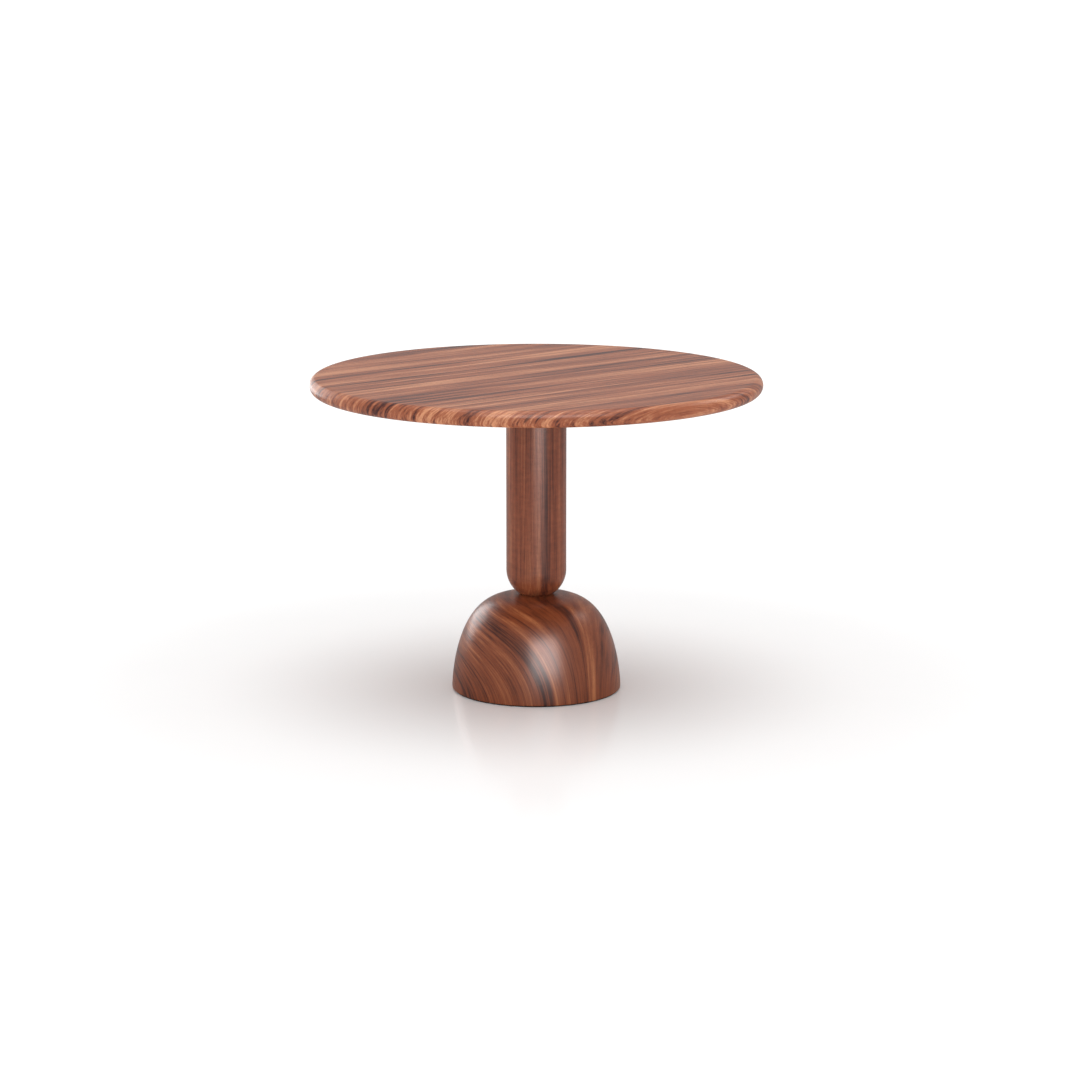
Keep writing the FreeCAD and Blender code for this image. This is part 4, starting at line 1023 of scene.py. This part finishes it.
def knurled_knob():
    """The catch's finger knob on its stem."""
    low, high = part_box("catch_knob")
    foot, radius = low.z, (high.x - low.x) / 2
    grip_high = foot + 10 * MM
    outline = [(0.0, foot + 0.6 * MM), (4.0 * MM, foot + 0.4 * MM), (radius - 2 * KNOB_ROUND, foot)]
    outline += sweep((radius - KNOB_ROUND, foot + KNOB_ROUND), KNOB_ROUND, -90, 0, 4)
    outline += along((radius, foot + KNOB_ROUND), (radius, foot + 5.6 * MM), 6)
    outline += [(radius - 0.8 * MM, foot + 6.4 * MM), (NECK_RADIUS + 0.6 * MM, grip_high - 2.2 * MM),
                (NECK_RADIUS, grip_high - 1.4 * MM), (NECK_RADIUS, grip_high), (STEM_RADIUS, grip_high),
                (STEM_RADIUS, high.z - 0.2 * MM), (STEM_RADIUS - 0.2 * MM, high.z), (0.0, high.z)]
    knob = shape_from("knurled_knob", KNURLED, outline, Ridges=KNOB_RIDGES, Depth=RIDGE_DEPTH,
                      Low=foot + 1.3 * MM, High=foot + 5.5 * MM, Grip_Radius=radius - 0.5 * MM,
                      Finish=FINISHES["aged_brass"])
    middle = under(low, high)
    place_piece(shift(knob, Vector((middle.x, middle.y, 0.0))), "catch_knob")


RING_BORE_RADIUS, RING_EASE = 187.5 * MM, 0.8 * MM


def rubber_ring():
    """The ring that the table stands on, with a rounded foot."""
    low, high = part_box("floor_ring")
    inner, outer, rise = RING_BORE_RADIUS, (high.x - low.x) / 2, low.z + RING_EASE
    loop = [(inner, high.z)] + sweep((inner + RING_EASE, rise), RING_EASE, 180, 270, 4)
    loop += sweep((outer - RING_EASE, rise), RING_EASE, -90, 0, 4) + [(outer, high.z), (inner, high.z)]
    place_piece(turn_piece("rubber_ring", loop, FINISHES["black_rubber"], 192), "floor_ring")


WIRE_RADIUS = 0.4 * MM
SPRING_TURNS = 8.0


def coil_spring():
    """The spring behind the catch bolt, which shortens as the bolt is drawn."""
    low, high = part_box("catch_spring")
    middle, long = (low + high) / 2, high.y - low.y
    spring = shape_from("coil_spring", SPRING, Turns=SPRING_TURNS, Wire_Radius=WIRE_RADIUS,
                        Coil_Radius=(high.x - low.x) / 2 - WIRE_RADIUS, Length=long - 2 * WIRE_RADIUS,
                        Finish=FINISHES["spring_steel"])
    shift(spring, Vector((middle.x, low.y + WIRE_RADIUS, middle.z)), turn_x=-90)
    place_piece(spring, "catch_spring")
    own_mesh(spring)


# ---- All of the pieces but the turned ones
STOP_PAD_SINK = 0.05 * MM

finished = {node: eased(node, width) for node, width in EASED_WIDTHS.items()}
shift(finished["stop_pads"], Vector((0, STOP_PAD_SINK, 0)))
all_screws()
washers()
threaded_rod()
for n in range(1, 5):
    leveller(n)
knurled_knob()
rubber_ring()
coil_spring()


# ---- Camera
CAMERA_TURN, CAMERA_TILT = math.radians(-39.4), math.radians(11.63)
CAMERA_AWAY = 7.783
AIM_SIDE, AIM_HEIGHT = 0.0087, 0.3564
LENS, SENSOR_WIDTH, SIGHT = 109.88, 36.0, 300.0
UP = Vector((0, 0, 1))
SIDE = Vector((math.cos(CAMERA_TURN), math.sin(CAMERA_TURN), 0.0))
AHEAD = UP.cross(SIDE)


def look(thing, direction):
    """Turns a camera or a lamp to face a direction."""
    thing.rotation_mode = "QUATERNION"
    thing.rotation_quaternion = direction.to_track_quat("-Z", "Y")


def set_camera():
    back = UP * math.sin(CAMERA_TILT) - AHEAD * math.cos(CAMERA_TILT)
    data = bpy.data.cameras.new("camera")
    data.sensor_width = SENSOR_WIDTH
    data.lens = LENS
    data.clip_end = SIGHT
    camera = shown("camera", data)
    camera.location = SIDE * AIM_SIDE + UP * AIM_HEIGHT + back * CAMERA_AWAY
    look(camera, -back)
    bpy.context.scene.camera = camera


# ---- Studio
HEART = Vector((0, 0, 0.4))
BASE_MIDDLE = Vector((0, 0, 0.25))


def studio_place(right, away, height):
    """A place in the studio: to the camera's right, away from it past the table, and up."""
    return SIDE * right + AHEAD * away + UP * height


def softbox(name, place, aim, size, radiance):
    """A rectangular soft light that faces aim. It shows in the gloss; the white room does the rest."""
    data = bpy.data.lights.new(name, "AREA")
    data.shape = "RECTANGLE"
    data.size, data.size_y = size
    data.energy = radiance * math.pi * size[0] * size[1]
    lamp = shown(name, data)
    lamp.location = place
    look(lamp, aim - place)
    lamp.visible_camera = lamp.visible_diffuse = False
    return lamp


def shine_on(lamp, *names):
    """Keeps a lamp's light to these pieces, so that nothing else mirrors it from behind."""
    receivers = bpy.data.collections.new(lamp.name + "_receivers")
    for name in names:
        receivers.objects.link(bpy.data.objects[name])
    lamp.light_linking.receiver_collection = receivers


SKY_ANGLE = math.radians(40)


def skylight(radiance):
    """Soft light from overhead, which the top shades the base from."""
    data = bpy.data.lights.new("skylight", "SUN")
    data.energy = radiance * math.pi
    data.angle = SKY_ANGLE
    shown("skylight", data).visible_glossy = False


WHITE = (1, 1, 1, 1)
ROOM_IN_GLOSS = 0.41


def mixed_shader(bench, factor, first, second):
    made = bench.add("ShaderNodeMixShader", Fac=factor)
    bench.feed(made.inputs[1], first)
    bench.feed(made.inputs[2], second)
    return made


def studio_world():
    """White to the eye, softer in reflections."""
    world = bpy.data.worlds.new("studio")
    bpy.context.scene.world = world
    world.use_nodes = True
    world.node_tree.nodes.clear()
    bench = Bench(world.node_tree)
    in_gloss = bench.add("ShaderNodeLightPath").outputs["Is Glossy Ray"]
    seen = bench.add("ShaderNodeBackground", Color=WHITE, Strength=1.0)
    mirrored = bench.add("ShaderNodeBackground", Color=WHITE, Strength=ROOM_IN_GLOSS)
    bench.add("ShaderNodeOutputWorld", Surface=mixed_shader(bench, in_gloss, seen, mirrored))


FLOOR_HALF = 90.0
# The second colour is the floor's colour in reflections, a darker grey put in as painted shade.
PAPER, PAPER_PAINTED_DARK_IN_GLOSS = (0.99, 0.99, 0.99, 1), (0.42, 0.42, 0.42, 1)
FLOOR_SHINE = 0.18
SHINE_FADES_FROM, SHINE_ENDS = 0.9, 1.9


def studio_floor():
    """A pale floor with a soft shine near the table, its colour painted a darker grey in reflections as
    painted shade. From below it is clear.
    """
    mesh = bpy.data.meshes.new("studio_floor")
    corners = [(-FLOOR_HALF, -FLOOR_HALF, 0), (FLOOR_HALF, -FLOOR_HALF, 0), (FLOOR_HALF, FLOOR_HALF, 0),
               (-FLOOR_HALF, FLOOR_HALF, 0)]
    mesh.from_pydata(corners, [], [(0, 1, 2, 3)])
    material, bench, shader, place = finish_material("studio_floor")
    in_gloss = bench.add("ShaderNodeLightPath").outputs["Is Glossy Ray"]
    # Seen in reflections the floor is painted a darker grey: painted shade that dims the floor in the
    # wood's gloss.
    paper_with_gloss_shade = bench.tint(in_gloss, PAPER, PAPER_PAINTED_DARK_IN_GLOSS)
    mottle = bench.noise(place, (3.0, 3.0, 3.0))
    bench.feed(shader.inputs["Base Color"], paper_with_gloss_shade)
    bench.feed(shader.inputs["Roughness"], bench.remap(mottle, 0.3, 0.7, 0.16, 0.20))
    shader.inputs["Specular IOR Level"].default_value = FLOOR_SHINE
    matt = bench.add("ShaderNodeBsdfDiffuse", Color=paper_with_gloss_shade)
    far = bench.remap(bench.vector("LENGTH", place), SHINE_FADES_FROM, SHINE_ENDS)
    from_below = bench.add("ShaderNodeNewGeometry").outputs["Backfacing"]
    clear = bench.add("ShaderNodeBsdfTransparent")
    surface = mixed_shader(bench, from_below, mixed_shader(bench, far, shader, matt), clear)
    bench.feed(bench.tree.nodes["Material Output"].inputs["Surface"], surface)
    mesh.materials.append(material)
    shown("studio_floor", mesh)


def studio_lamps():
    """Softboxes in gloss alone, each group kept to its pieces, and a skylight."""
    for lamp in (
        softbox("left", studio_place(-2.3, 2.5, 1.3), HEART, (2.3, 1.7), 4.1),
        softbox("front", studio_place(0.45, -2.0, 0.95), BASE_MIDDLE, (1.5, 1.30), 10.5),
    ):
        shine_on(lamp, "turned_dome", "turned_column")
    for lamp in (
        softbox("rim_left", studio_place(-1.9, 3.0, 0.40), HEART, (2.6, 0.66), 1.8),
        softbox("rim_haze", studio_place(-2.3, 2.5, 1.3), HEART, (2.3, 1.7), 1.5),
        softbox("rim_front", studio_place(0.2, -2.1, 2.5), HEART, (2.4, 1.7), 4.0),
    ):
        shine_on(lamp, "tabletop")
    softbox("right_back", studio_place(2.2, 1.2, 2.3), HEART, (1.0, 1.0), 2.0)
    softbox("overhead", Vector((0, 0, 3.2)), HEART, (2.4, 2.4), 1.5)
    skylight(0.22)


set_camera()
studio_world()
studio_floor()
studio_lamps()
bpy.context.scene.view_settings.view_transform = "Standard"
